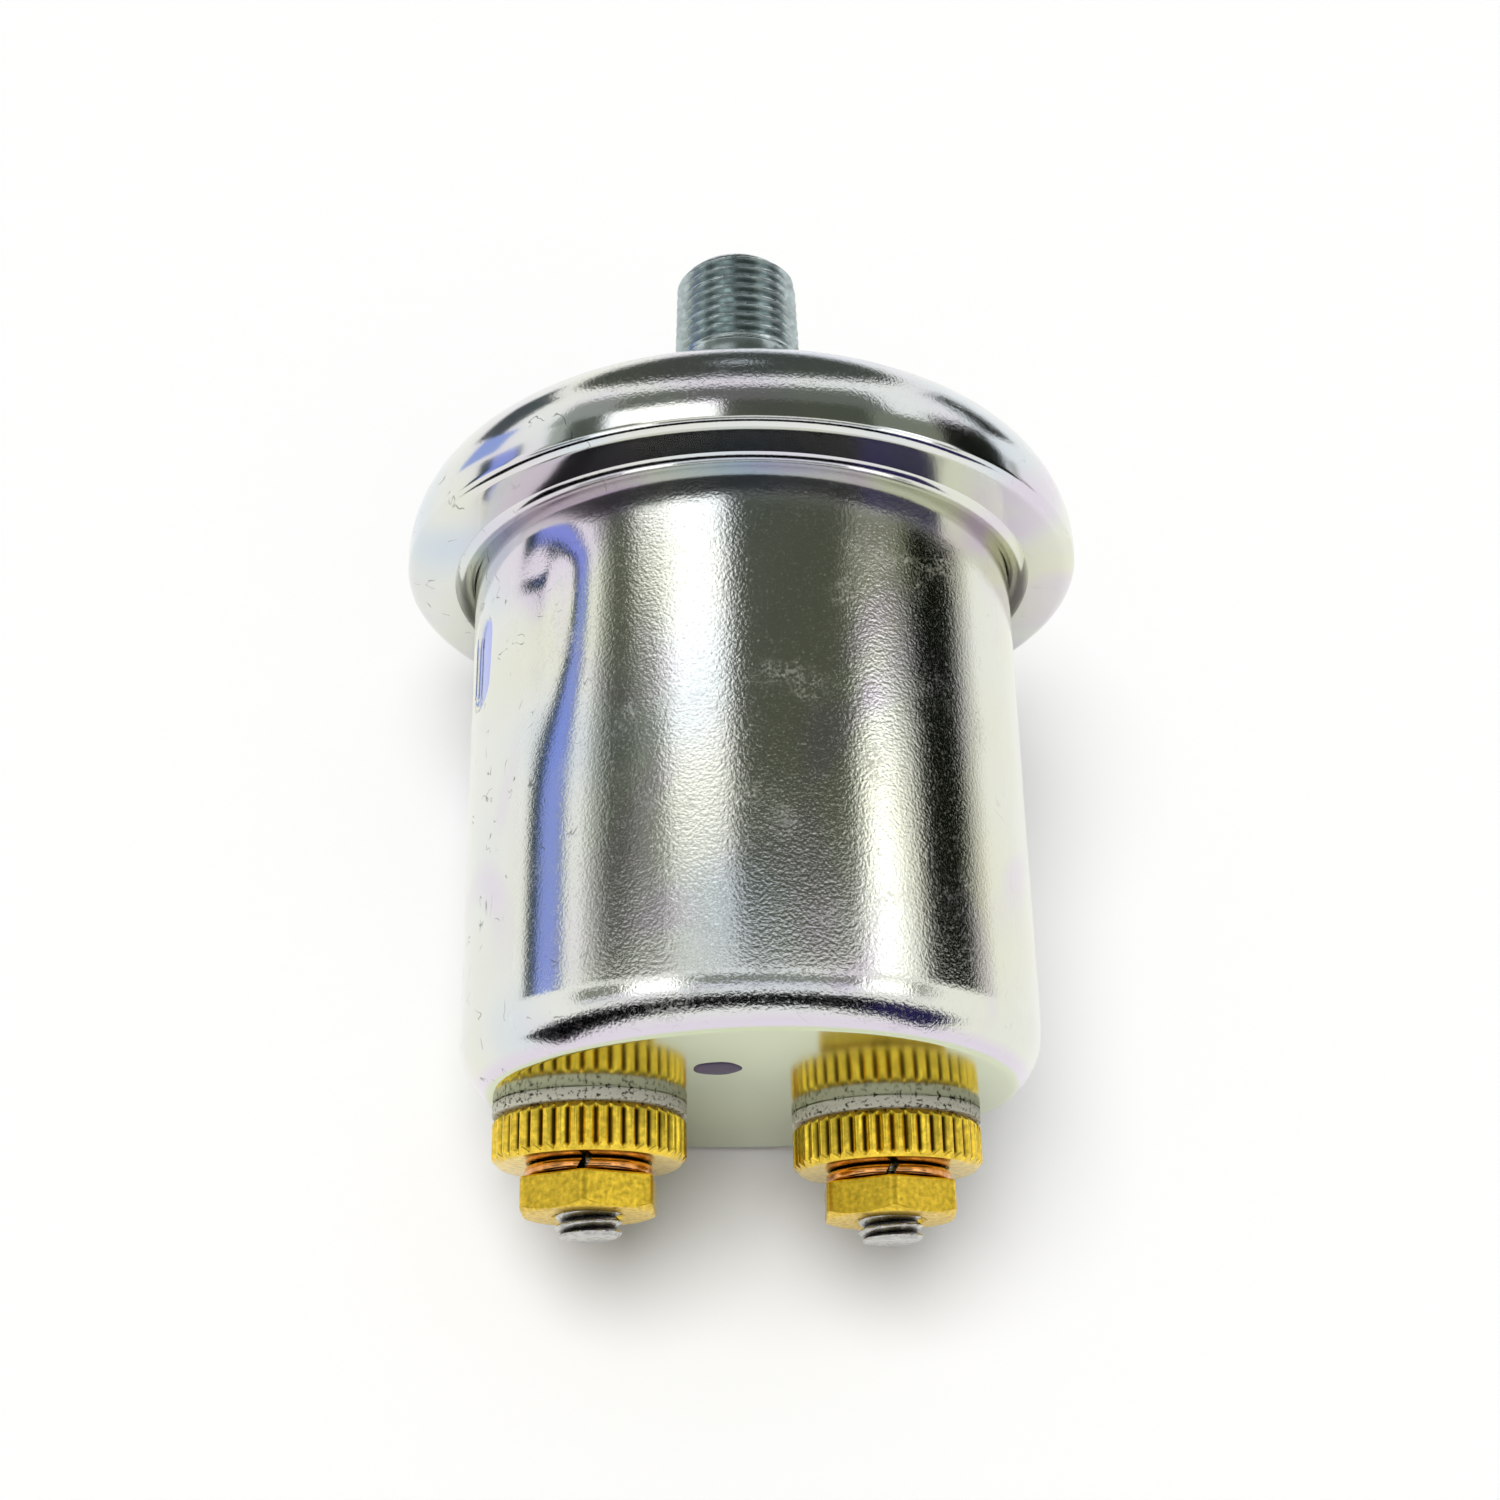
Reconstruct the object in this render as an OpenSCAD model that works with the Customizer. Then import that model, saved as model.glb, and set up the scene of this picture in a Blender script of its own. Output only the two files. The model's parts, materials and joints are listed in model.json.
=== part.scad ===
// Pressure switch with a male taper pipe port, a crimped steel can and two insulated stud terminals.
// It is modelled standing on the can's closed end, x to the right and y towards the underside, with z
// running from the closed end to the port. lay_down() then turns the axis level, port end to +Y,
// and sets the origin on the axis at the port fitting's shoulder.

/* [Can] */
// Outside diameter of the can
can_d = 42.4; // [41:0.1:45]
// Length from the closed end to the flange
can_length = 41.7; // [38:0.1:50]
// Sheet thickness of the can
can_wall = 0.9; // [0.7:0.05:1.2]
// Rounding of the wall towards the closed end
can_corner = 4.0; // [3:0.1:4.5]
// Radius of the closed end's slight outward bulge
end_crown = 430; // [200:10:600]
// Fillet between the can's wall and its flange
can_fillet = 1.2; // [0.6:0.1:1.6]

/* [Slot mark] */
// Length of the pressed mark along the can
mark_length = 7.4; // [5:0.1:10]
// Width of the pressed mark around the can
mark_width = 3.6; // [2:0.1:4.5]
// Depth of the pressed mark
mark_depth = 0.35; // [0.2:0.05:0.5]
// Height of the mark's middle above the closed end
mark_height = 32.0; // [20:0.1:33.5]
// Angle of the mark from the top, towards the left
mark_angle = 83; // [0:1:180]

/* [Cap] */
// Outside diameter of the cap
cap_d = 53; // [48:0.1:58]
// Height from the rolled lip to the flat top
cap_height = 9.8; // [8.8:0.1:12]
// Sheet thickness of the cap over the pressure chamber
cap_wall = 1.2; // [0.8:0.05:1.6]
// Thickness of the cap's rim round the clamped discs
rim_wall = 1.6; // [1.2:0.05:2.4]
// Rounding of the cap's shoulder
dome_round = 8.2; // [5:0.1:8.3]
// Rounding of the rolled edge
lip_round = 0.8; // [0.6:0.1:1.4]
// Thickness of the rolled lip under the can's flange
lip_thickness = 1.0; // [0.7:0.05:1.4]
// Diameter of the pressure chamber under the cap
chamber_d = 41; // [36:0.1:43]

/* [Port fitting] */
// Hexagon across flats
hex_af = 15.9; // [15:0.1:19]
// Height of the hexagon
hex_height = 6.0; // [4:0.1:8]
// Diameter of the plain neck behind the thread
neck_d = 10.6; // [10.6:0.1:12]
// Length of the plain neck
neck_length = 5.2; // [3:0.1:8]
// Length of the threaded end
thread_length = 8.9; // [7:0.1:12]
// Thread diameter over the crests at the tip
thread_tip_d = 9.98; // [9.6:0.01:10]
// Thread pitch
thread_pitch = 0.941; // [0.9:0.001:1.2]
// Depth of the thread
thread_depth = 0.6; // [0.4:0.01:0.62]
// Growth of the thread's diameter per millimetre of length
thread_taper = 0.0625; // [0.05:0.0025:0.065]
// Chamfer at the tip
tip_chamfer = 0.9; // [0.4:0.1:1.2]
// Diameter of the pressure inlet
inlet_d = 3.2; // [2:0.1:5]
// Diameter of the spigot that passes through the cap
spigot_d = 12; // [10:0.1:14]
// Width of the staked collar inside the cap
stake_width = 0.8; // [0.5:0.1:1.5]
// Height of the staked collar
stake_height = 0.8; // [0.5:0.1:1.2]

/* [Clamped stack] */
// Thickness of the support plate
support_thickness = 1.2; // [0.8:0.1:1.5]
// Thickness of the diaphragm
diaphragm_thickness = 0.4; // [0.2:0.05:0.6]
// Thickness of the gasket ring
gasket_thickness = 0.8; // [0.5:0.1:1.1]
// Width of the gasket ring
gasket_width = 4.3; // [3:0.1:6]
// Inside diameter of the support plate's cup
cup_d = 18; // [15:0.1:22]
// Depth of the support plate's cup
cup_depth = 7.0; // [5:0.1:9]

/* [Plunger] */
// Diameter of the plunger's stem
stem_d = 5.0; // [4:0.1:6]
// Thickness of the plunger's head
head_thickness = 2.0; // [1.5:0.1:3]
// Travel of the plunger from rest to full pressure
travel = 0.8; // [0.4:0.05:1]

/* [Lever and contacts] */
// Height of the lever's underside above the can's closed end
lever_height = 21; // [19:0.1:24]
// Sheet thickness of the lever
lever_thickness = 1.2; // [0.8:0.1:1.5]
// Width of the lever over its two ears
lever_width = 10.8; // [9:0.1:12]
// Depth of the pivot below the lever's underside
pivot_depth = 2.0; // [1.6:0.1:3]
// Radius of the ears round the pivot
ear_r = 2.8; // [2.4:0.1:3.2]
// Diameter of the pivot pin
pin_d = 2.5; // [2:0.1:3]
// Diameter of the pivot pin's heads
pin_head_d = 3.8; // [3.4:0.1:4.6]
// Thickness of the pivot pin's heads
pin_head = 0.7; // [0.4:0.1:1]
// Diameter of both contacts
contact_d = 4.0; // [3:0.1:4.4]
// Thickness of each contact
contact_thickness = 1.0; // [0.6:0.1:1.4]
// Height of the contacts' middle above the switch's axis
contact_up = 8.5; // [7.5:0.1:9]
// Width of the contact strip
strip_width = 4.8; // [4.6:0.1:5.4]
// Sheet thickness of the contact strip
strip_thickness = 1.2; // [0.8:0.1:1.5]

/* [Bracket and range spring] */
// Sheet thickness of the switch bracket
bracket_thickness = 1.2; // [0.8:0.1:1.5]
// Place of the calibration screw to the right of the axis
screw_x = -4.4; // [-5:0.1:-4]
// Place of the calibration screw above the axis
screw_up = 9.1; // [8.6:0.1:10.4]
// Diameter of the calibration screw
screw_d = 4.0; // [3:0.1:4.4]
// Length of the calibration screw
screw_length = 5.5; // [5.2:0.1:7.4]
// Width and depth of the calibration screw's driver slot
screw_slot = 0.8; // [0.5:0.1:1]
// Wall round the calibration screw's thread
boss_wall = 1.6; // [1:0.1:2]
// Height of the threaded boss on the bracket
boss_height = 3.0; // [2:0.1:3.4]
// Outside diameter of the range spring
spring_d = 6.8; // [6:0.1:7.2]
// Wire diameter of the range spring
wire_d = 0.9; // [0.6:0.05:1]
// Turns of the range spring
spring_turns = 5; // [4:1:6]
// Thickness of the spring seat
seat_thickness = 1.2; // [0.8:0.1:1.6]
// Height of the pips that centre the spring
pip_height = 1.3; // [0.8:0.1:2]

/* [Terminals] */
// Distance between the studs
stud_spacing = 22.6; // [22:0.1:23]
// Distance of the studs below the switch's axis
stud_drop = 4.2; // [3:0.1:4.8]
// Stud diameter over the thread
stud_d = 4.83; // [4:0.01:5]
// Thread pitch of the studs
stud_pitch = 0.794; // [0.7:0.001:1]
// Thread depth of the studs
stud_thread_depth = 0.42; // [0.3:0.01:0.45]
// Length of stud that stands out of the hex nut
stud_free_end = 1.58; // [1.5:0.01:4]
// Chamfer at the stud's end
stud_chamfer = 0.35; // [0.2:0.05:0.5]
// Diameter of the stud's head
stud_head_d = 8.6; // [7.6:0.1:9]
// Height of the stud's head
stud_head = 2.6; // [2:0.1:3]
// Diameter of the insulating plate under the heads
insulator_d = 33.8; // [33:0.1:34.4]
// Thickness of the insulating plate under the heads
insulator_thickness = 2.0; // [1.5:0.1:3]
// Wall of the bush round the stud
bush_wall = 1.5; // [1:0.1:2]
// Diameter of the outer insulating washer
washer_d = 14.3; // [12:0.1:15]
// Thickness of the outer insulating washer
washer_thickness = 0.91; // [0.6:0.01:1.5]
// Diameter of the knurled nut
knurled_d = 14.2; // [12:0.1:15]
// Height of the knurled nut
knurled_height = 3.5; // [2.5:0.1:5]
// Chamfer of the knurled nut
knurled_chamfer = 0.5; // [0.4:0.05:0.8]
// Number of grooves in the knurl
knurl_grooves = 42; // [30:1:44]
// Depth of the knurl
knurl_depth = 0.36; // [0.2:0.02:0.4]
// Outside diameter of the split lock washer
lock_d = 9.4; // [8:0.1:10]
// Thickness of the split lock washer
lock_thickness = 1.03; // [0.8:0.01:1.4]
// Rounding of the lock washer's edges
lock_round = 0.34; // [0.1:0.02:0.38]
// Width of the lock washer's split
lock_split = 0.6; // [0.3:0.05:1]
// Slant of the lock washer's split
lock_slant = 30; // [0:5:45]
// Hex nut across flats
nut_af = 9.52; // [8.5:0.01:10]
// Thickness of the hex nut
nut_thickness = 2.55; // [2:0.05:3.5]
// Turn of the nuts and splits from the top, towards the left
nut_angle = 12.6; // [0:0.1:60]

/* [Seal] */
// Diameter of the calibration hole in the can's end
seal_hole_d = 3.0; // [2:0.1:3.4]
// Diameter of the lacquer dab over the hole
seal_d = 3.5; // [3.2:0.1:4.5]
// Height of the lacquer dab
seal_height = 0.2; // [0.15:0.05:0.4]

/* [Clearances] */
// Radial gap of the clamped discs inside the cap's rim
stack_clear = 0.1; // [0.05:0.05:0.3]
// Gap between the lip's inner edge and the can's fillet
lip_gap = 0.3; // [0.1:0.05:0.5]
// Radial running clearance of the pivot pin and the plunger's stem
run_clear = 0.05; // [0.02:0.01:0.1]
// Radial clearance in the threads of nuts and screws
thread_clear = 0.05; // [0.02:0.01:0.1]
// Radial clearance of fixed inserts such as bushes and the spigot
insert_clear = 0.02; // [0.01:0.01:0.1]
// Gap between the lever's ears and the bracket's ears
ear_gap = 0.3; // [0.2:0.05:0.5]
// Gap between the plunger and what it pushes or is pushed by
push_gap = 0.3; // [0.1:0.05:0.5]
// Gap left between the contacts at full travel
closed_gap = 0.15; // [0.1:0.05:0.4]
// Radial gap of the plunger's head in its cup
head_clear = 0.6; // [0.3:0.1:1]
// Gap at each end of the range spring
spring_gap = 0.15; // [0.05:0.05:0.3]
// Gap between live parts of opposite terminals
live_gap = 2.5; // [2:0.1:3]
// Gap between the contact strip and the range spring
strip_gap = 0.55; // [0.5:0.05:1]
// Gap between the contact strip's riser and the stud's head
riser_gap = 0.15; // [0.1:0.05:0.4]
// Radial gap between the range spring and the pips that centre it
pip_clear = 0.55; // [0.3:0.05:0.8]
// Gap between the lever and the can's wall
wall_gap = 1.0; // [0.5:0.1:1.5]

/* [Hidden] */

// Facets of round shapes
$fn = 96;

// Radii, with the can's flange and the discs clamped on it inside the cap's rim
can_r = can_d / 2;
cap_r = cap_d / 2;
stack_r = cap_r - rim_wall - stack_clear;
chamber_r = chamber_d / 2;
neck_r = neck_d / 2;
tip_r = thread_tip_d / 2;
stud_r = stud_d / 2;
stud_head_r = stud_head_d / 2;
pin_r = pin_d / 2;
stem_r = stem_d / 2;
contact_r = contact_d / 2;
screw_r = screw_d / 2;
spring_r = spring_d / 2;
boss_r = screw_r + thread_clear + boss_wall;
insulator_r = insulator_d / 2;
cup_r = cup_d / 2;
seal_hole_r = seal_hole_d / 2;

// Fillet of the can's flange, which is limited by the flange's width
fillet_r = min(can_fillet, (stack_r - can_r) / 2);

// Sides of the circle that bulges the can's closed end
crown_sides = 4 * $fn;

// Heights above the can's closed end, from the terminals' inside to the port's tip
insulator_low = end_crown - sqrt(pow(end_crown - can_wall, 2) - pow(insulator_r, 2)) + insert_clear;
insulator_top = insulator_low + insulator_thickness;
bracket_top = insulator_top + bracket_thickness;
strip_top = insulator_top + strip_thickness;
seal_z = end_crown - sqrt(pow(end_crown, 2) - pow(screw_x, 2) - pow(screw_up, 2));
lip_z = can_length - lip_thickness;
flange_top = can_length + can_wall;
support_top = flange_top + support_thickness;
diaphragm_top = support_top + diaphragm_thickness;
gasket_top = diaphragm_top + gasket_thickness;
cap_top = lip_z + cap_height;
shoulder_z = cap_top + hex_height;
neck_top = shoulder_z + neck_length;
tip_z = neck_top + thread_length;

// Heights of the terminal pieces below the can's closed end
washer_face = washer_thickness;
knurled_face = washer_face + knurled_height;
lock_face = knurled_face + lock_thickness;
nut_face = lock_face + nut_thickness;
stud_end = nut_face + stud_free_end;

// Lever, pivot and contacts
lever_top = lever_height + lever_thickness;
bracket_ear_in = lever_width / 2 + ear_gap;
bracket_ear_out = bracket_ear_in + bracket_thickness;
pivot_drop = sqrt(pow(insulator_r, 2) - pow(bracket_ear_out, 2)) - ear_r;
pivot_z = lever_height - pivot_depth;
lever_ratio = (pivot_drop + contact_up) / pivot_drop;
contact_gap = travel * lever_ratio + closed_gap;
fixed_contact_top = lever_height - contact_thickness - contact_gap;
strip_tab_top = fixed_contact_top - contact_thickness;
contact_x = screw_x - spring_r - strip_gap - strip_width / 2;
riser_up = stud_head_r - stud_drop + riser_gap + strip_thickness / 2;
bracket_left = stud_head_r + live_gap - stud_spacing / 2;

// Range spring, between its seat and the lever
screw_tip = insulator_top + screw_length;
seat_top = screw_tip + seat_thickness;
spring_low = seat_top + spring_gap + wire_d / 2;
spring_high = lever_height - spring_gap - wire_d / 2;
pip_r = spring_r - wire_d - pip_clear;
rings_per_turn = 12;
wire_sides = 6;

// Thread cutting
steps_per_turn = 20;
cut_over = 0.2;
flank = tan(30);
fade_turns = 0.75;

// Small overrun of cuts past the faces that they leave
past = 1;

// Turns the standing switch level and moves the origin to the port fitting's shoulder
module lay_down() {
    rotate([-90, 0, 0]) translate([0, 0, -shoulder_z]) children();
}

// Moves a piece to the right, up and along the axis
module at(x, up, z) {
    translate([x, -up, z]) children();
}

// Moves a piece to a stud: side is -1 on the left and 1 on the right
module at_stud(side) {
    at(side * stud_spacing / 2, -stud_drop, 0) children();
}

// Moves a piece to the calibration screw's axis
module at_screw() {
    at(screw_x, screw_up, 0) children();
}

// Ring round z between two heights
module ring(outer, inner, low, high) {
    difference() {
        translate([0, 0, low]) cylinder(r = outer, h = high - low);
        translate([0, 0, low - past]) cylinder(r = inner, h = high - low + 2 * past);
    }
}

// Half section of a disc whose upper outer corner is rounded
module dome_section(r, low, high, top_round) {
    round_r = min(top_round, high - low);
    difference() {
        translate([0, low]) square([r, high - low]);
        translate([r - round_r, high - round_r]) square([round_r + past, round_r + past]);
    }
    intersection() {
        translate([r - round_r, high - round_r]) circle(round_r);
        translate([0, low]) square([r, high - low]);
    }
}

// Half section of a disc with rounded outer corners at both ends
module rounded_section(r, low, high, low_round, top_round) {
    difference() {
        dome_section(r, low, high, min(top_round, high - low - low_round));
        translate([r - low_round, low - past]) square([low_round + past, low_round + past]);
    }
    translate([r - low_round, low + low_round]) circle(low_round);
}

// Half section of the can's outline, drawn in by a thickness: its rounding ends at the bulged end's edge
module can_section(inset) {
    intersection() {
        translate([0, end_crown]) circle(end_crown - inset, $fn = crown_sides);
        union() {
            square([can_r - can_corner, can_corner]);
            translate([can_r - can_corner, can_corner]) circle(can_corner - inset);
        }
    }
    translate([0, can_corner]) square([can_r - inset, flange_top - can_corner + inset]);
}

// Fillet that fills the corner between the can's wall and its flange
module flange_fillet() {
    difference() {
        translate([can_r - can_wall / 2, can_length - fillet_r])
            square([fillet_r + can_wall / 2, fillet_r + can_wall / 2]);
        translate([can_r + fillet_r, can_length - fillet_r]) circle(fillet_r);
    }
}

// Pressed mark: a round-ended slot, cut square to the can's wall
module slot_mark() {
    run = mark_length - mark_width;
    rotate([0, 0, -90 - mark_angle]) translate([can_r - mark_depth, 0, mark_height]) rotate([0, 90, 0]) {
        for (end = [-1, 1]) translate([end * run / 2, 0, 0])
            cylinder(d = mark_width, h = mark_depth + past);
        translate([-run / 2, -mark_width / 2, 0]) cube([run, mark_width, mark_depth + past]);
    }
}

module can() {
    color("#c9ccc4") lay_down() difference() {
        rotate_extrude() difference() {
            union() {
                can_section(0);
                translate([0, can_length]) square([stack_r, can_wall]);
                flange_fillet();
            }
            can_section(can_wall);
            translate([0, can_length]) square([can_r - can_wall, can_wall + past]);
        }
        for (side = [-1, 1]) at_stud(side) translate([0, 0, -past])
            cylinder(r = stud_r + run_clear + bush_wall + insert_clear, h = insulator_low + 2 * past);
        at_screw() translate([0, 0, -past]) cylinder(r = seal_hole_r, h = insulator_low + 2 * past);
        slot_mark();
    }
}

module pressure_cap() {
    lip_in = can_r + fillet_r + lip_gap;
    color("#c4c8c8") lay_down() rotate_extrude() difference() {
        rounded_section(cap_r, lip_z, cap_top, lip_round, dome_round);
        translate([0, can_length]) square([stack_r + stack_clear, gasket_top - can_length]);
        translate([0, lip_z - past]) square([lip_in, lip_thickness + 2 * past]);
        intersection() {
            dome_section(cap_r - cap_wall, gasket_top - past, cap_top - cap_wall, dome_round - cap_wall);
            translate([0, gasket_top - past]) square([chamber_r, cap_height]);
        }
        translate([0, cap_top - cap_wall - past])
            square([spigot_d / 2 + insert_clear, cap_wall + 2 * past]);
    }
}

// Groove of a screw thread as one solid, from past the tip to where it fades out at the foot
module thread_groove(tip_radius, taper, top, length, pitch, depth) {
    count = ceil(steps_per_turn * (length + pitch) / pitch);
    points = [
        for (i = [0:count])
            let (z = top + pitch - pitch * i / steps_per_turn)
            let (crest = tip_radius + (top - z) * taper / 2)
            let (fade = min(1, (count - i) / (steps_per_turn * fade_turns)))
            let (root = crest + cut_over / 2 - (depth + cut_over / 2) * fade)
            let (half = (crest + cut_over - root) * flank)
            let (turn = -360 * i / steps_per_turn)
            for (p = [[crest + cut_over, z - half], [root, z], [crest + cut_over, z + half]])
                [p[0] * cos(turn), p[0] * sin(turn), p[1]]
    ];
    sides = [
        for (i = [0:count - 1], j = [0:2])
            let (k = (j + 1) % 3)
            for (f = [[3 * i + j, 3 * i + k, 3 * i + 3 + k], [3 * i + j, 3 * i + 3 + k, 3 * i + 3 + j]]) f
    ];
    polyhedron(points, concat([[2, 1, 0]], sides, [[3 * count, 3 * count + 1, 3 * count + 2]]));
}

// Hexagon prism with its corners turned down at the upper end
module chamfered_hexagon(across_flats, low, high) {
    corner_r = across_flats / 2 / cos(30);
    drop = (corner_r - across_flats / 2) * flank;
    intersection() {
        translate([0, 0, low]) cylinder(r = corner_r, h = high - low, $fn = 6);
        union() {
            translate([0, 0, low]) cylinder(r = corner_r + past, h = high - drop - low);
            translate([0, 0, high - drop]) cylinder(r1 = corner_r, r2 = across_flats / 2, h = drop);
        }
    }
}

module port_fitting() {
    foot_r = tip_r + thread_length * thread_taper / 2;
    stake_low = cap_top - cap_wall - stake_height;
    color("#b9c2c2") lay_down() difference() {
        union() {
            translate([0, 0, stake_low]) cylinder(r = spigot_d / 2 + stake_width, h = stake_height);
            translate([0, 0, stake_low]) cylinder(d = spigot_d, h = cap_top - stake_low);
            chamfered_hexagon(hex_af, cap_top, shoulder_z);
            translate([0, 0, shoulder_z - past]) cylinder(r = neck_r, h = neck_length + past);
            difference() {
                translate([0, 0, neck_top - past])
                    cylinder(r1 = foot_r + past * thread_taper / 2, r2 = tip_r, h = thread_length + past);
                translate([0, 0, tip_z - tip_chamfer]) difference() {
                    cylinder(r = neck_r + past, h = tip_chamfer + past);
                    cylinder(r1 = tip_r + tip_chamfer * thread_taper / 2,
                        r2 = tip_r - tip_chamfer - past, h = tip_chamfer + past);
                }
                thread_groove(tip_r, thread_taper, tip_z, thread_length, thread_pitch, thread_depth);
            }
        }
        translate([0, 0, stake_low - past]) cylinder(d = inlet_d, h = tip_z - stake_low + 2 * past);
    }
}

module gasket_ring() {
    color("#3a3733") lay_down() ring(stack_r, stack_r - gasket_width, diaphragm_top, gasket_top);
}

module diaphragm() {
    color("#26262a") lay_down() translate([0, 0, support_top])
        cylinder(r = stack_r, h = diaphragm_thickness);
}

// Flat ring with a drawn cup whose floor guides the plunger
module support_plate() {
    cup_low = support_top - cup_depth;
    color("#a8aaa6") lay_down() {
        ring(stack_r, cup_r, flange_top, support_top);
        ring(cup_r + support_thickness, cup_r, cup_low, flange_top);
        ring(cup_r + support_thickness, stem_r + run_clear, cup_low - support_thickness, cup_low);
    }
}

module plunger() {
    head_top = support_top - push_gap;
    color("#5b3a22") lay_down() {
        translate([0, 0, head_top - head_thickness]) cylinder(r = cup_r - head_clear, h = head_thickness);
        translate([0, 0, lever_top + push_gap])
            cylinder(r = stem_r, h = head_top - head_thickness - lever_top - push_gap);
    }
}

// Ear round the pivot, standing square to x, down to a given height
module pivot_ear(inner, thickness, low, hole_r) {
    for (side = [-1, 1]) difference() {
        union() {
            at(side * (inner + thickness / 2), -pivot_drop, pivot_z) rotate([0, 90, 0])
                cylinder(r = ear_r, h = thickness, center = true);
            at(side * (inner + thickness / 2), -pivot_drop, (pivot_z + low) / 2)
                cube([thickness, 2 * ear_r, abs(pivot_z - low)], center = true);
        }
        at(0, -pivot_drop, pivot_z) rotate([0, 90, 0])
            cylinder(r = hole_r, h = 2 * (inner + thickness + past), center = true);
    }
}

module contact_lever() {
    pad = strip_width / 2;
    wing_high = screw_up + spring_r;
    color("#b8a15a") lay_down() {
        translate([0, 0, lever_height]) linear_extrude(lever_thickness) intersection() {
            circle(can_r - can_wall - wall_gap);
            union() {
                translate([-lever_width / 2, -contact_up])
                    square([lever_width, contact_up + pivot_drop + ear_r]);
                translate([contact_x - pad, -wing_high])
                    square([lever_width / 2 - contact_x + pad, wing_high - contact_up + pad]);
            }
        }
        pivot_ear(lever_width / 2 - lever_thickness, lever_thickness, lever_height, pin_r + run_clear);
        at_screw() translate([0, 0, lever_height - pip_height]) cylinder(r = pip_r, h = pip_height);
    }
}

module moving_contact() {
    color("#dcdcd8") lay_down() at(contact_x, contact_up, lever_height - contact_thickness)
        cylinder(r = contact_r, h = contact_thickness);
}

module pivot_pin() {
    color("#8e9092") lay_down() at(0, -pivot_drop, pivot_z) rotate([0, 90, 0]) {
        cylinder(r = pin_r, h = 2 * bracket_ear_out + pin_head, center = true);
        for (side = [-1, 1]) translate([0, 0, side * (bracket_ear_out + pin_head / 2)])
            cylinder(d = pin_head_d, h = pin_head, center = true);
    }
}

// Base plate under the right stud's head, two ears for the pivot and the calibration screw's boss
module switch_bracket() {
    pad_r = stud_head_r;
    color("#b08d4a") lay_down() {
        difference() {
            union() {
                translate([0, 0, insulator_top]) linear_extrude(bracket_thickness) {
                    translate([-bracket_ear_out, pivot_drop - ear_r])
                        square([2 * bracket_ear_out, 2 * ear_r]);
                    translate([bracket_left, -screw_up])
                        square([bracket_ear_out - bracket_left, screw_up + pivot_drop]);
                    translate([0, stud_drop - pad_r]) square([stud_spacing / 2, 2 * pad_r]);
                    translate([stud_spacing / 2, stud_drop]) circle(pad_r);
                    translate([screw_x, -screw_up]) circle(boss_r);
                    translate([screw_x, -screw_up - boss_r]) square([boss_r, 2 * boss_r]);
                }
                at_screw() translate([0, 0, insulator_top])
                    cylinder(r = boss_r, h = bracket_thickness + boss_height);
            }
            at_stud(1) translate([0, 0, insulator_top - past])
                cylinder(r = stud_r + thread_clear, h = bracket_thickness + 2 * past);
            at_screw() translate([0, 0, insulator_top - past])
                cylinder(r = screw_r + thread_clear, h = bracket_thickness + boss_height + 2 * past);
        }
        pivot_ear(bracket_ear_in, bracket_thickness, insulator_top, pin_r + insert_clear);
    }
}

// Foot under the left stud's head, a riser beside it and a tab that carries the fixed contact
module contact_strip() {
    left = contact_x - strip_width / 2;
    tab_depth = contact_up + strip_width / 2 - riser_up + strip_thickness / 2;
    color("#b87f4a") lay_down() {
        difference() {
            translate([0, 0, insulator_top]) linear_extrude(strip_thickness) {
                translate([-stud_spacing / 2, stud_drop]) circle(stud_head_r);
                translate([left, -riser_up - strip_thickness / 2])
                    square([strip_width, riser_up + strip_thickness / 2 + stud_drop]);
            }
            at_stud(-1) translate([0, 0, insulator_top - past])
                cylinder(r = stud_r + thread_clear, h = strip_thickness + 2 * past);
        }
        translate([left, -riser_up - strip_thickness / 2, insulator_top])
            cube([strip_width, strip_thickness, strip_tab_top - insulator_top]);
        translate([left, -contact_up - strip_width / 2, strip_tab_top - strip_thickness])
            cube([strip_width, tab_depth, strip_thickness]);
    }
}

module fixed_contact() {
    color("#dcdcd8") lay_down() at(contact_x, contact_up, strip_tab_top)
        cylinder(r = contact_r, h = contact_thickness);
}

// Centre line of the range spring: one rising helix with short straight ends
function spring_point(i, last, r) =
    let (turn = 360 * i / rings_per_turn)
    [r * cos(turn), r * sin(turn), spring_low + (spring_high - spring_low) * i / last];

module range_spring() {
    last = spring_turns * rings_per_turn;
    r = spring_r - wire_d / 2;
    helix = [for (i = [0:last]) spring_point(i, last, r)];
    start = helix[0] - [0, wire_d, 0];
    finish = helix[last] + [0, wire_d, 0];
    path = concat([start], helix, [finish]);
    count = len(path);
    points = [
        for (i = [0:count - 1])
            let (turn = 360 * (min(max(i - 1, 0), last)) / rings_per_turn)
            for (s = [0:wire_sides - 1])
                let (a = 360 * s / wire_sides)
                path[i] + wire_d / 2 * [cos(a) * cos(turn), cos(a) * sin(turn), sin(a)]
    ];
    sides = [
        for (i = [0:count - 2], s = [0:wire_sides - 1])
            let (t = (s + 1) % wire_sides)
            let (a = wire_sides * i)
            let (b = a + wire_sides)
            for (f = [[a + s, b + t, b + s], [a + s, a + t, b + t]]) f
    ];
    end_low = [for (s = [1:wire_sides - 2]) [0, s + 1, s]];
    top = wire_sides * (count - 1);
    end_high = [for (s = [1:wire_sides - 2]) [top, top + s, top + s + 1]];
    far = rings_per_turn / 2;
    apart = [for (i = [0:count - 1], j = [0:count - 1]) if (j > i + far) norm(path[i] - path[j])];
    echo(range_spring_least_gap = min(apart) - wire_d);
    color("#9a9ca0") lay_down() at_screw() polyhedron(points, concat(end_low, sides, end_high));
}

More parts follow.
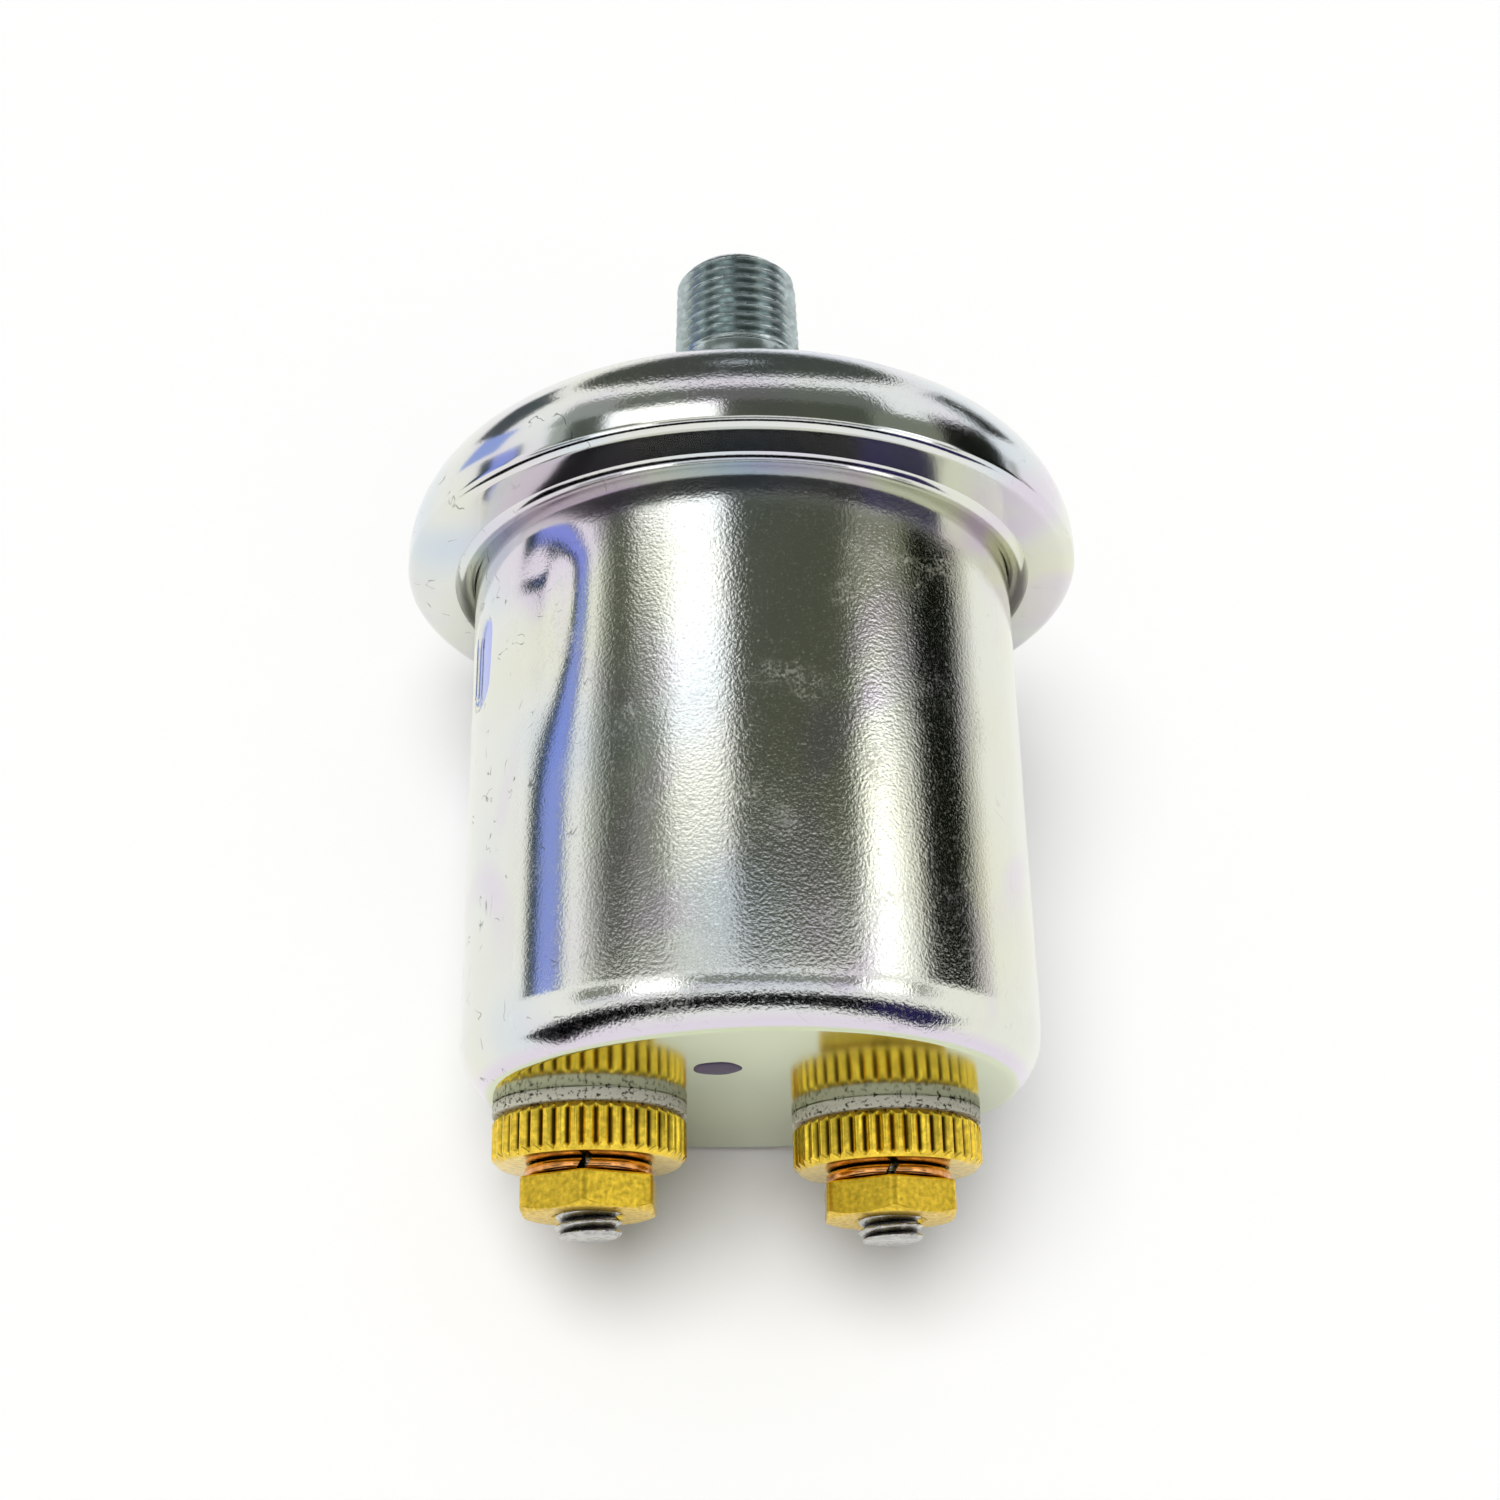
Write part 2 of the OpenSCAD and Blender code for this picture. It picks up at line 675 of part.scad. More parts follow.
module spring_seat() {
    color("#b5954c") lay_down() at_screw() {
        translate([0, 0, screw_tip]) cylinder(r = spring_r, h = seat_thickness);
        translate([0, 0, screw_tip]) cylinder(r = pip_r, h = seat_thickness + pip_height);
    }
}

// Headless screw with a driver slot towards the can's end
module calibration_screw() {
    color("#8e9092") lay_down() at_screw() difference() {
        translate([0, 0, insulator_top]) cylinder(r = screw_r, h = screw_length);
        translate([-screw_d, -screw_slot / 2, insulator_top - past])
            cube([2 * screw_d, screw_slot, screw_slot + past]);
    }
}

module insulating_plate() {
    color("#7a4a2a") lay_down() difference() {
        translate([0, 0, insulator_low]) cylinder(r = insulator_r, h = insulator_thickness);
        for (side = [-1, 1]) at_stud(side)
            cylinder(r = stud_r + thread_clear, h = insulator_top + past);
        at_screw() cylinder(r = screw_r + thread_clear, h = insulator_top + past);
    }
}

// Lacquer that fills the calibration hole and stands a little proud of the bulged end
module seal_dot() {
    color("#3b2a52") lay_down() {
        at_screw() translate([0, 0, seal_z]) cylinder(r = seal_hole_r - insert_clear, h = can_wall);
        difference() {
            at_screw() translate([0, 0, seal_z - seal_height]) cylinder(d = seal_d, h = can_wall);
            rotate_extrude() can_section(0);
        }
    }
}

// Threaded stud with a round head inside the can
module stud(side, clamped_top) {
    at_stud(side) {
        translate([0, 0, clamped_top]) cylinder(r = stud_head_r, h = stud_head);
        difference() {
            union() {
                translate([0, 0, stud_chamfer - stud_end])
                    cylinder(r = stud_r, h = clamped_top + stud_head / 2 + stud_end - stud_chamfer);
                translate([0, 0, -stud_end])
                    cylinder(r1 = stud_r - stud_chamfer, r2 = stud_r, h = stud_chamfer);
            }
            rotate([180, 0, 0])
                thread_groove(stud_r, 0, stud_end, stud_end - knurled_face, stud_pitch, stud_thread_depth);
        }
    }
}

module left_stud() {
    color("#b4b6b8") lay_down() stud(-1, strip_top);
}

module right_stud() {
    color("#b4b6b8") lay_down() stud(1, bracket_top);
}

module stud_bush(side) {
    color("#7a4a2a") lay_down() at_stud(side)
        ring(stud_r + run_clear + bush_wall, stud_r + run_clear, 0, insulator_low);
}

module left_stud_bush() {
    stud_bush(-1);
}

module right_stud_bush() {
    stud_bush(1);
}

module insulating_washer(side) {
    color("#b9b7b0") lay_down() at_stud(side)
        ring(washer_d / 2, stud_r + run_clear, -washer_face, 0);
}

module left_insulating_washer() {
    insulating_washer(-1);
}

module right_insulating_washer() {
    insulating_washer(1);
}

// Round nut with a straight knurl that runs out on its chamfers
module knurled_nut(side) {
    r = knurled_d / 2;
    bore = stud_r + thread_clear;
    notch = knurl_depth * sqrt(2);
    color("#c9a227") lay_down() at_stud(side) difference() {
        rotate_extrude() polygon([
            [bore, -knurled_face],
            [r - knurled_chamfer, -knurled_face],
            [r, knurled_chamfer - knurled_face],
            [r, -washer_face - knurled_chamfer],
            [r - knurled_chamfer, -washer_face],
            [bore, -washer_face]
        ]);
        for (i = [0:knurl_grooves - 1]) rotate([0, 0, 360 * i / knurl_grooves])
            translate([r, 0, -(knurled_face + washer_face) / 2]) rotate([0, 0, 45])
                cube([notch, notch, knurled_height + past], center = true);
    }
}

module left_knurled_nut() {
    knurled_nut(-1);
}

module right_knurled_nut() {
    knurled_nut(1);
}

// Spring washer with a slanted split that faces the same way as the nut's corner
module lock_washer(side) {
    color("#b5713a") lay_down() at_stud(side) difference() {
        rotate_extrude() difference() {
            rounded_section(lock_d / 2, -lock_face, -knurled_face, lock_round, lock_round);
            translate([0, -lock_face - past]) square([stud_r + run_clear, lock_thickness + 2 * past]);
        }
        rotate([0, 0, -90 - nut_angle]) translate([lock_d / 2, 0, -knurled_face - lock_thickness / 2])
            rotate([lock_slant, 0, 0]) cube([lock_d, lock_split, 3 * lock_thickness], center = true);
    }
}

module left_lock_washer() {
    lock_washer(-1);
}

module right_lock_washer() {
    lock_washer(1);
}

module hex_nut(side) {
    color("#b89a3a") lay_down() at_stud(side) rotate([180, 0, 90 - nut_angle]) difference() {
        chamfered_hexagon(nut_af, lock_face, nut_face);
        translate([0, 0, lock_face - past])
            cylinder(r = stud_r + thread_clear, h = nut_thickness + 2 * past);
    }
}

module left_hex_nut() {
    hex_nut(-1);
}

module right_hex_nut() {
    hex_nut(1);
}

can();
pressure_cap();
port_fitting();
gasket_ring();
diaphragm();
support_plate();
plunger();
contact_lever();
moving_contact();
pivot_pin();
switch_bracket();
contact_strip();
fixed_contact();
range_spring();
spring_seat();
calibration_screw();
insulating_plate();
seal_dot();
left_stud();
right_stud();
left_stud_bush();
right_stud_bush();
left_insulating_washer();
right_insulating_washer();
left_knurled_nut();
right_knurled_nut();
left_lock_washer();
right_lock_washer();
left_hex_nut();
right_hex_nut();
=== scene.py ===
import json
import math

import bmesh
import bpy
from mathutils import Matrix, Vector, geometry, noise


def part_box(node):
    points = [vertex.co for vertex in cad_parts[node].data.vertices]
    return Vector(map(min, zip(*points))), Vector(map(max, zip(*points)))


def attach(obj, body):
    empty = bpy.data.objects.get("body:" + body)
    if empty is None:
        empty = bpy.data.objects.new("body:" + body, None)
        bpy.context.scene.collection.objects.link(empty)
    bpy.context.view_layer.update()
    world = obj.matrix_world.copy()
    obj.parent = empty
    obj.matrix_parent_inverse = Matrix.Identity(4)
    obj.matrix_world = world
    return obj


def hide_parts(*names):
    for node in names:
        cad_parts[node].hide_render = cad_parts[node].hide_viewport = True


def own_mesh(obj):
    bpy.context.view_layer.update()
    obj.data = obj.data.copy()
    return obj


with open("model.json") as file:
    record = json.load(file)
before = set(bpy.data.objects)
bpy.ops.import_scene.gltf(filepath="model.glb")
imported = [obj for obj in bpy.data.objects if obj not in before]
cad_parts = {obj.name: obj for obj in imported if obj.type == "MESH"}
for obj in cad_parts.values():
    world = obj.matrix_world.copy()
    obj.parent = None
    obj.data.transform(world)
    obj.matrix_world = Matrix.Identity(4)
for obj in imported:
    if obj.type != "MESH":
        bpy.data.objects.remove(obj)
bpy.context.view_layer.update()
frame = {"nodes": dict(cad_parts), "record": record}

bl_info = {
    "name": "Pressure Switch Finish",
    "version": (1, 0, 0),
    "blender": (4, 5, 0),
    "location": "3D View > Sidebar > Pressure Switch",
    "description": "Dresses a packed pressure switch with its turned, drawn and plated pieces and its finishes",
    "category": "Object",
}

MM = 0.001
RECORD = frame["record"]
NODES = frame["nodes"]
BODY_OF = {node: body for body, nodes in RECORD["behaviour"]["bodies"].items() for node in nodes}
SLOT_OF = {part["node"]: part["material_slot"] for part in RECORD["subparts"]}
SIDES = ("left", "right")
SET_IN_GAP = 0.02 * MM


def linear(hex_colour):
    """Linear red, green, blue and alpha of an sRGB hex colour."""
    parts = [int(hex_colour[i:i + 2], 16) / 255 for i in (1, 3, 5)]
    return tuple(c / 12.92 if c <= 0.04045 else ((c + 0.055) / 1.055) ** 2.4 for c in parts) + (1.0,)


def length(name, description, millimetres):
    return bpy.props.FloatProperty(
        name=name, description=description, default=millimetres * MM, unit="LENGTH", precision=5)


def number(name, description, default):
    return bpy.props.FloatProperty(name=name, description=description, default=default)


def rotation(name, description, degrees):
    return bpy.props.FloatProperty(
        name=name, description=description, default=math.radians(degrees), subtype="ANGLE")


def colour(name, description, hex_colour):
    return bpy.props.FloatVectorProperty(
        name=name, description=description, default=linear(hex_colour), size=4, subtype="COLOR", min=0, max=1)


class SwitchSizes(bpy.types.PropertyGroup):
    """Sizes that the solids' boxes don't give."""

    can_radius: length("Can radius", "Outside radius of the can's wall", 21.2)
    can_wall: length("Can wall", "Sheet thickness of the can", 0.9)
    can_corner: length("Can corner", "Rounding of the wall towards the closed end", 4.0)
    outer_corner: length("Outer corner", "Rounding of the can's outside, a little softer than inside", 5.0)
    corner_sink: length("Corner sink", "How far the outside rounding is cut off by the closed end", 0.95)
    end_crown: length("End crown", "Radius of the closed end's slight bulge inside", 430.0)
    seat_top: length("Seat top", "Height on the closed end up to which it is pressed flat for the studs", 4.5)
    end_lean: length("End lean", "How far the closed end falls back at its upper edge", 0.45)
    edge_ease: length("Edge ease", "Worn width of the edge round the closed end", 0.14)
    can_fillet: length("Flange fillet", "Fillet between the can's wall and its flange", 1.2)
    mark_length: length("Mark length", "Length of the pressed slot mark along the can", 7.4)
    mark_width: length("Mark width", "Width of the pressed slot mark", 3.6)
    mark_depth: length("Mark depth", "Depth of the pressed slot mark", 0.35)
    mark_height: length("Mark height", "Height of the mark's middle above the closed end", 32.0)
    mark_angle: rotation("Mark angle", "Angle of the mark from the top", -83)
    dent_depth: length("Dent depth", "Depth of the shallow dent below the flange", 1.1)
    dent_width: length("Dent width", "Half width of the dent towards the top", 2.6)
    dent_height: length("Dent height", "Height of the dent's middle above the closed end", 34.6)
    dent_angle: rotation("Dent angle", "Angle of the dent from the top", -58.3)
    cap_wall: length("Cap wall", "Sheet thickness of the cap", 1.2)
    dome_round: length("Dome rounding", "Rounding of the cap's shoulder", 8.2)
    lip_round: length("Lip rounding", "Rounding of the rolled edge", 0.8)
    lip_thickness: length("Lip thickness", "Thickness of the rolled lip under the flange", 1.0)
    lip_inner: length("Lip inner radius", "Radius of the lip's inner edge", 22.7)
    chamber_radius: length("Chamber radius", "Radius of the pressure chamber", 20.5)
    stack_top: length("Stack top", "Depth of the clamped stack below the cap's flat top", 5.5)
    spigot_radius: length("Spigot radius", "Radius of the spigot through the cap", 6.0)
    stake_width: length("Stake width", "Width of the staked collar inside the cap", 0.8)
    stake_height: length("Stake height", "Height of the staked collar", 0.8)
    hex_flats: length("Hexagon", "Hexagon of the fitting across its flats", 15.9)
    neck_radius: length("Neck radius", "Radius of the plain neck", 5.3)
    neck_length: length("Neck length", "Length of the plain neck", 5.2)
    thread_tip: length("Thread tip radius", "Radius over the crests at the tip", 4.99)
    thread_pitch: length("Thread pitch", "Pitch of the port's thread", 0.941)
    thread_depth: length("Thread depth", "Depth of the port's thread", 0.6)
    thread_taper: number("Thread taper", "Growth of the thread's diameter per length", 0.0625)
    tip_chamfer: length("Tip chamfer", "Chamfer at the port's tip", 0.9)
    inlet_radius: length("Inlet radius", "Radius of the pressure inlet", 1.6)
    stud_radius: length("Stud radius", "Radius of the studs over the thread", 2.415)
    stud_pitch: length("Stud pitch", "Pitch of the studs' thread", 0.794)
    stud_depth: length("Stud thread depth", "Depth of the studs' thread", 0.42)
    stud_head: length("Stud head", "Height of the studs' heads", 2.6)
    stud_chamfer: length("Stud chamfer", "Chamfer at the studs' ends", 0.35)
    bush_wall: length("Bush wall", "Wall of the bush round the stud", 1.5)
    seal_hole: length("Seal hole", "Radius of the calibration hole", 1.5)
    seal_rise: length("Seal rise", "Height of the lacquer over the closed end", 0.14)
    bore_clear: length("Bore clearance", "Gap round the studs in nuts and washers", 0.05)
    knurl_depth: length("Knurl depth", "Depth of the knurl", 0.36)
    knurl_chamfer: length("Knurl chamfer", "Chamfer of the knurled nuts", 0.5)
    knurl_grooves: bpy.props.IntProperty(
        name="Knurl grooves", description="Number of grooves round a knurled nut", default=42)
    nut_flats: length("Hex nut", "Hex nut across its flats", 9.52)
    nut_angle: rotation("Nut angle", "Turn of the nuts' corners from the top", -12.6)
    split_width: length("Split width", "Width of the lock washers' split", 0.6)
    split_slant: rotation("Split slant", "Slant of the lock washers' split", 30)
    spring_wire: length("Spring wire", "Radius of the range spring's wire", 0.45)
    spring_give: length("Spring give", "How much the range spring shortens at full travel", 1.5)
    spring_turns: bpy.props.IntProperty(name="Spring turns", description="Turns of the range spring", default=5)
    lock_round: length("Lock washer rounding", "Rounding of the lock washers' edges", 0.46)


class SwitchFinishes(bpy.types.PropertyGroup):
    """Colours of the finishes."""

    zinc: colour("Zinc plate", "Bright zinc plate on drawn steel", "#E2E4DE")
    straw: colour("Straw tint", "Straw tint of the chromate film", "#E2E3CF")
    lilac: colour("Lilac tint", "Lilac tint of the chromate film", "#DDD5E0")
    sky: colour("Pale blue tint", "Blue tint of the chromate film", "#D0DAE4")
    fitting: colour("Fitting", "Blue-bright zinc plate on the fitting", "#BFCCCD")
    end: colour("Closed end", "Greenish film on the can's closed end", "#CDD6B4")
    recess: colour("Recess film", "Thicker bluish film in the pressed mark", "#A9B4EE")
    scratch: colour("Scratches", "Dark bottom of fine scratches", "#77766A")
    brass: colour("Brass", "Turned free-cutting brass", "#FFDA4C")
    # Colour of painted shade at the bottom of the knurl's grooves.
    brass_groove_shade: colour("Brass in grooves", "Brass dulled at the bottom of the knurl", "#3E2C04")
    nut_brass: colour("Nut brass", "Tumbled brass of the hex nuts", "#F4CF42")
    copper: colour("Lock washer", "Bronze spring washer", "#F0AA66")
    # Colour of painted shade, near black, on the lock washers' faces.
    lock_washer_face_shade: colour("Lock washer shade", "Tarnish on the lock washer's faces", "#1A0E06")
    fibre: colour("Fibre", "Grey vulcanised fibre", "#DAD7C6")
    fibre_dark: colour("Fibre flecks", "Darker flecks in the fibre", "#3C352A")
    stud: colour("Stud steel", "Bright steel of the studs", "#D0CFCB")
    # Dark colour for the bottom of the studs' thread roots.
    stud_dark: colour("Stud roots", "Dirt at the bottom of the studs' thread", "#2A2623")
    lacquer: colour("Lacquer", "Sealing lacquer over the calibration hole", "#4A3B58")
    steel: colour("Plain steel", "Pressed and oiled inner steel", "#A8A9A8")
    sheet_brass: colour("Sheet brass", "Blanked brass sheet inside", "#C9A560")
    silver: colour("Contact silver", "Silver of the contacts", "#E6E5E0")
    phenolic: colour("Phenolic", "Pressed phenolic sheet", "#5B3720")
    rubber: colour("Rubber", "Moulded nitrile rubber", "#232325")


class SwitchStage(bpy.types.PropertyGroup):
    """Camera, floor and light."""

    camera: bpy.props.FloatVectorProperty(
        name="Camera", description="Place of the camera", default=(-0.03171, -0.087103, 0.141823),
        subtype="XYZ", unit="LENGTH")
    aim: bpy.props.FloatVectorProperty(
        name="Aim", description="Turn of the camera", subtype="EULER",
        default=tuple(math.radians(a) for a in (21.9813, -12.3061, -1.1325)))
    lens: number("Lens", "Focal length in millimetres", 48.208)
    floor: colour("Floor", "Matt white table", "#FAFAF9")
    floor_place: bpy.props.FloatVectorProperty(
        name="Floor place", description="Point of the table under the switch", default=(0, -0.01459, -0.0265),
        subtype="XYZ", unit="LENGTH")
    floor_slope: rotation("Floor slope", "Lean of the table against the switch's axis", 7.78)
    sheet_radius: length("Sheet radius", "Radius of the white sheet that the metal mirrors", 90)
    table_radius: length("Table radius", "Radius of the table", 3000)
    ambient: number("Fill light", "Level of the fill light overhead", 0.5)
    low_fill: number("Low fill", "Level of the fill at table height", 0.05)
    sun: number("Key light", "Level of the soft key light", 2.3)
    sun_spread: rotation("Key spread", "Width of the key light", 35)
    sun_from: bpy.props.FloatVectorProperty(
        name="Key direction", description="Where the key light comes from", default=(-0.3, 0.12, 1.0), subtype="XYZ")


def add(tree, kind, inputs=(), out=0, **settings):
    """Adds a node with its settings, sets or links its inputs, and gives one of its outputs, or all of them."""
    made = tree.nodes.new("ShaderNode" + kind)
    for key, value in settings.items():
        setattr(made, key, value)
    for key, value in inputs.items() if isinstance(inputs, dict) else enumerate(inputs):
        if isinstance(value, bpy.types.NodeSocket):
            tree.links.new(value, made.inputs[key])
        else:
            made.inputs[key].default_value = value
    return made.outputs if out is None else made.outputs[out]


def blank(name):
    """A new material and its empty node tree."""
    material = bpy.data.materials.new(name)
    material.use_nodes = True
    material.node_tree.nodes.clear()
    return material, material.node_tree


def per(millimetres):
    """Texture scale at which a pattern repeats about once per size."""
    return 1 / (millimetres * MM)


def off_axis(tree, place, centre):
    """Distance from the nearer stud's axis."""
    x, _, z = add(tree, "SeparateXYZ", (place,), None)
    across = add(tree, "Math", (x,), operation="ABSOLUTE")
    across = add(tree, "Math", (across, abs(centre[0])), operation="SUBTRACT")
    up = add(tree, "Math", (z, centre[1]), operation="SUBTRACT")
    flat = add(tree, "CombineXYZ", (across, up))
    return add(tree, "VectorMath", (flat,), "Value", operation="LENGTH")


def bright_zinc(f, s, end_y, lip_y):
    """Drawn low-carbon steel, bright zinc plated with a thin clear chromate film."""
    # The eye sees a soft mirror: fine plating grain breaks up the highlights, the film gives pale straw,
    # lilac and blue clouds, and handling leaves a few hairlines and dull scuffs. The closed end and the rolled
    # lip's underside are smooth. The grain of the plate is finer than a picture shows, so it is drawn at about
    # a fifth of a millimetre.
    material, tree = blank("zinc_plated_drawn_steel")
    place = add(tree, "TexCoord", out="Object")
    x, y, z = add(tree, "SeparateXYZ", (place,), None)
    # Height over the closed end, which falls back above its flat seats.
    above = add(tree, "MapRange", (z, s.seat_top, s.can_radius))
    above = add(tree, "Math", (above, above), operation="MULTIPLY")
    height = add(tree, "Math", (above, -s.end_lean, y), operation="MULTIPLY_ADD")
    wall = add(tree, "MapRange", (height, end_y + 0.05 * MM, end_y + 0.2 * MM))
    band = add(tree, "MapRange", (height, end_y + 1.1 * MM, end_y + 0.5 * MM))
    under = add(tree, "Math", (y, lip_y), operation="SUBTRACT")
    under = add(tree, "Math", (under,), operation="ABSOLUTE")
    across = add(tree, "Math", (x,), operation="ABSOLUTE")
    # The grain stops at the lip's underside and fades close below the rim and towards the sides.
    grainy = wall
    for value, start, end, low, high in (
            (under, 0.01, 0.06, 0.0, 1.0), (across, 12, 19, 1.0, 0.25), (under, 1.0, 4.0, 0.2, 1.0)):
        fade = add(tree, "MapRange", (value, start * MM, end * MM, low, high))
        grainy = add(tree, "Math", (grainy, fade), operation="MULTIPLY")
    # Hairlines: broken contour lines of a soft noise, most of them on the left.
    lines = add(tree, "TexNoise", {"Vector": place, "Scale": per(5), "Detail": 3.0, "Distortion": 0.5})
    lines = add(tree, "Math", (lines, 0.5), operation="SUBTRACT")
    lines = add(tree, "Math", (lines,), operation="ABSOLUTE")
    lines = add(tree, "MapRange", (lines, 0.007, 0.002))
    gaps = add(tree, "TexNoise", {"Vector": place, "Scale": per(1.6), "Detail": 1.0})
    for fade in (add(tree, "MapRange", (gaps, 0.56, 0.64)),
                 add(tree, "MapRange", (x, -12 * MM, -18 * MM, 0.1, 0.85))):
        lines = add(tree, "Math", (lines, fade), operation="MULTIPLY")
    # Thicker film in the pressed slot mark.
    turned = add(tree, "Math", (x, z), operation="ARCTAN2")
    beside = add(tree, "Math", (turned, s.can_radius, -s.mark_angle * s.can_radius), operation="MULTIPLY_ADD")
    along = add(tree, "Math", (y, end_y + s.mark_height), operation="SUBTRACT")
    along = add(tree, "Math", (along,), operation="ABSOLUTE")
    along = add(tree, "Math", (along, (s.mark_length - s.mark_width) / 2), operation="SUBTRACT")
    along = add(tree, "Math", (along, 0.0), operation="MAXIMUM")
    reach = add(tree, "CombineXYZ", (beside, along))
    reach = add(tree, "VectorMath", (reach,), "Value", operation="LENGTH")
    sunk = add(tree, "MapRange", (reach, s.mark_width / 2, s.mark_width / 2 - 0.3 * MM))
    below = add(tree, "MapRange", (y, lip_y, lip_y - 1 * MM))
    sunk = add(tree, "Math", (sunk, below), operation="MULTIPLY")
    # Film: wide clouds on the wall, one tone on the closed end.
    cloud = add(tree, "TexNoise", {"Vector": place, "Scale": per(17), "Detail": 1.0})
    cloud_b = add(tree, "TexNoise", {"Vector": place, "Scale": per(11), "Detail": 1.0, "Distortion": 0.6})
    tint = tuple(f.zinc)
    for share, tone in ((add(tree, "MapRange", (cloud, 0.46, 0.68)), f.straw),
                        (add(tree, "MapRange", (cloud, 0.46, 0.3)), f.sky),
                        (add(tree, "MapRange", (cloud_b, 0.5, 0.7)), f.lilac),
                        (band, f.lilac)):
        tint = add(tree, "Mix", {0: share, 6: tint, 7: tuple(tone)}, 2, data_type="RGBA")
    tint = add(tree, "Mix", {0: wall, 6: tuple(f.end), 7: tint}, 2, data_type="RGBA")
    for share, tone in ((add(tree, "Math", (lines, wall), operation="MULTIPLY"), f.scratch), (sunk, f.recess)):
        tint = add(tree, "Mix", {0: share, 6: tint, 7: tuple(tone)}, 2, data_type="RGBA")
    # Dull spots: the grain's tops, speckled scuffs and the hairlines.
    grain = add(tree, "TexNoise", {"Vector": place, "Scale": per(0.22), "Detail": 3.0})
    patch = add(tree, "TexNoise", {"Vector": place, "Scale": per(5), "Detail": 6.0})
    patch = add(tree, "MapRange", (patch, 0.56, 0.74))
    spots = add(tree, "TexNoise", {"Vector": place, "Scale": per(0.25), "Detail": 1.0})
    spots = add(tree, "MapRange", (spots, 0.4, 0.62))
    dull = add(tree, "MapRange", (grain, 0.56, 0.68, 0.0, 0.35))
    for more in (add(tree, "Math", (patch, spots), operation="MULTIPLY"), lines):
        dull = add(tree, "Math", (dull, more), operation="MAXIMUM")
    dull = add(tree, "Math", (dull, grainy), operation="MULTIPLY")
    rough = add(tree, "MapRange", (dull, 0.0, 1.0, 0.12, 0.45))
    swell = add(tree, "TexNoise", {"Vector": place, "Scale": per(7), "Detail": 0.0})
    bumped = add(tree, "Bump", {"Strength": grainy, "Distance": 0.019 * MM, "Height": grain})
    bumped = add(tree, "Bump", {"Strength": wall, "Distance": 0.03 * MM, "Height": swell, "Normal": bumped})
    shader = add(tree, "BsdfPrincipled", {
        "Base Color": tint, "Metallic": 1.0, "Roughness": rough, "Normal": bumped})
    add(tree, "OutputMaterial", {"Surface": shader}, None)
    return material


def plain_metal(name, tone, roughness, grain_mm, grain_depth, darkening=None):
    """A metal with its own grain: small patches of lighter and duller surface and a fine bump."""
    # The darkening, if any, is the axis, the radii at which it is full and gone, the middle and half length of the
    # stretch it lies on, the width over which it ends there, and its colour: it darkens the bottom of threads, and
    # is painted shade in knurls' grooves and on lock washers' faces.
    material, tree = blank(name)
    place = add(tree, "TexCoord", out="Object")
    grain = add(tree, "TexNoise", {"Vector": place, "Scale": per(grain_mm), "Detail": 4.0})
    light = add(tree, "MapRange", (grain, 0.3, 0.7, 0.62, 1.0))
    shade = add(tree, "Mix", {0: 1.0, 6: tuple(tone), 7: light}, 2, data_type="RGBA", blend_type="MULTIPLY")
    if darkening:
        centre, deep, clean, middle, half, edge, dark = darkening
        depth = add(tree, "MapRange", (off_axis(tree, place, centre), clean, deep))
        along = add(tree, "SeparateXYZ", (place,), "Y")
        along = add(tree, "Math", (along, middle), operation="SUBTRACT")
        along = add(tree, "Math", (along,), operation="ABSOLUTE")
        along = add(tree, "MapRange", (along, half, half - edge))
        depth = add(tree, "Math", (depth, along), operation="MULTIPLY")
        shade = add(tree, "Mix", {0: depth, 6: shade, 7: tuple(dark)}, 2, data_type="RGBA")
    rough = add(tree, "MapRange", (grain, 0.3, 0.7, roughness * 1.4, roughness * 0.8))
    bumped = add(tree, "Bump", {"Distance": grain_depth * MM, "Height": grain})
    shader = add(tree, "BsdfPrincipled", {
        "Base Color": shade, "Metallic": 1.0, "Roughness": rough, "Normal": bumped})
    add(tree, "OutputMaterial", {"Surface": shader}, None)
    return material


def plain_solid(name, tone, fleck, roughness, grain_mm, grain_depth, gloss=0.5):
    """A moulded, pressed or dried solid with flecks of a second colour and a fine bump."""
    material, tree = blank(name)
    place = add(tree, "TexCoord", out="Object")
    grain = add(tree, "TexNoise", {"Vector": place, "Scale": per(grain_mm), "Detail": 5.0})
    flecks = add(tree, "MapRange", (grain, 0.54, 0.64))
    shade = add(tree, "Mix", {0: flecks, 6: tuple(tone), 7: tuple(fleck)}, 2, data_type="RGBA")
    bumped = add(tree, "Bump", {"Distance": grain_depth * MM, "Height": grain})
    shader = add(tree, "BsdfPrincipled", {
        "Base Color": shade, "Roughness": roughness, "Specular IOR Level": gloss, "Normal": bumped})
    add(tree, "OutputMaterial", {"Surface": shader}, None)
    return material


def arc(centre, radius, start, end, steps):
    """Points of an arc, from one angle in degrees to another."""
    turns = [math.radians(start + (end - start) * i / steps) for i in range(steps + 1)]
    return [(centre[0] + radius * math.cos(t), centre[1] + radius * math.sin(t)) for t in turns]


def run(start, end, steps):
    """Points of a straight line, ends left out."""
    return [(start[0] + (end[0] - start[0]) * i / steps, start[1] + (end[1] - start[1]) * i / steps)
            for i in range(1, steps)]


def even(count, offset=0.0):
    return [2 * math.pi * i / count + offset for i in range(count)]


def about(centre, radius, angle, y):
    """Point at a radius round an axis along Y. Angles go from the top towards the right."""
    return centre[0] + radius * math.sin(angle), y, centre[1] + radius * math.cos(angle)


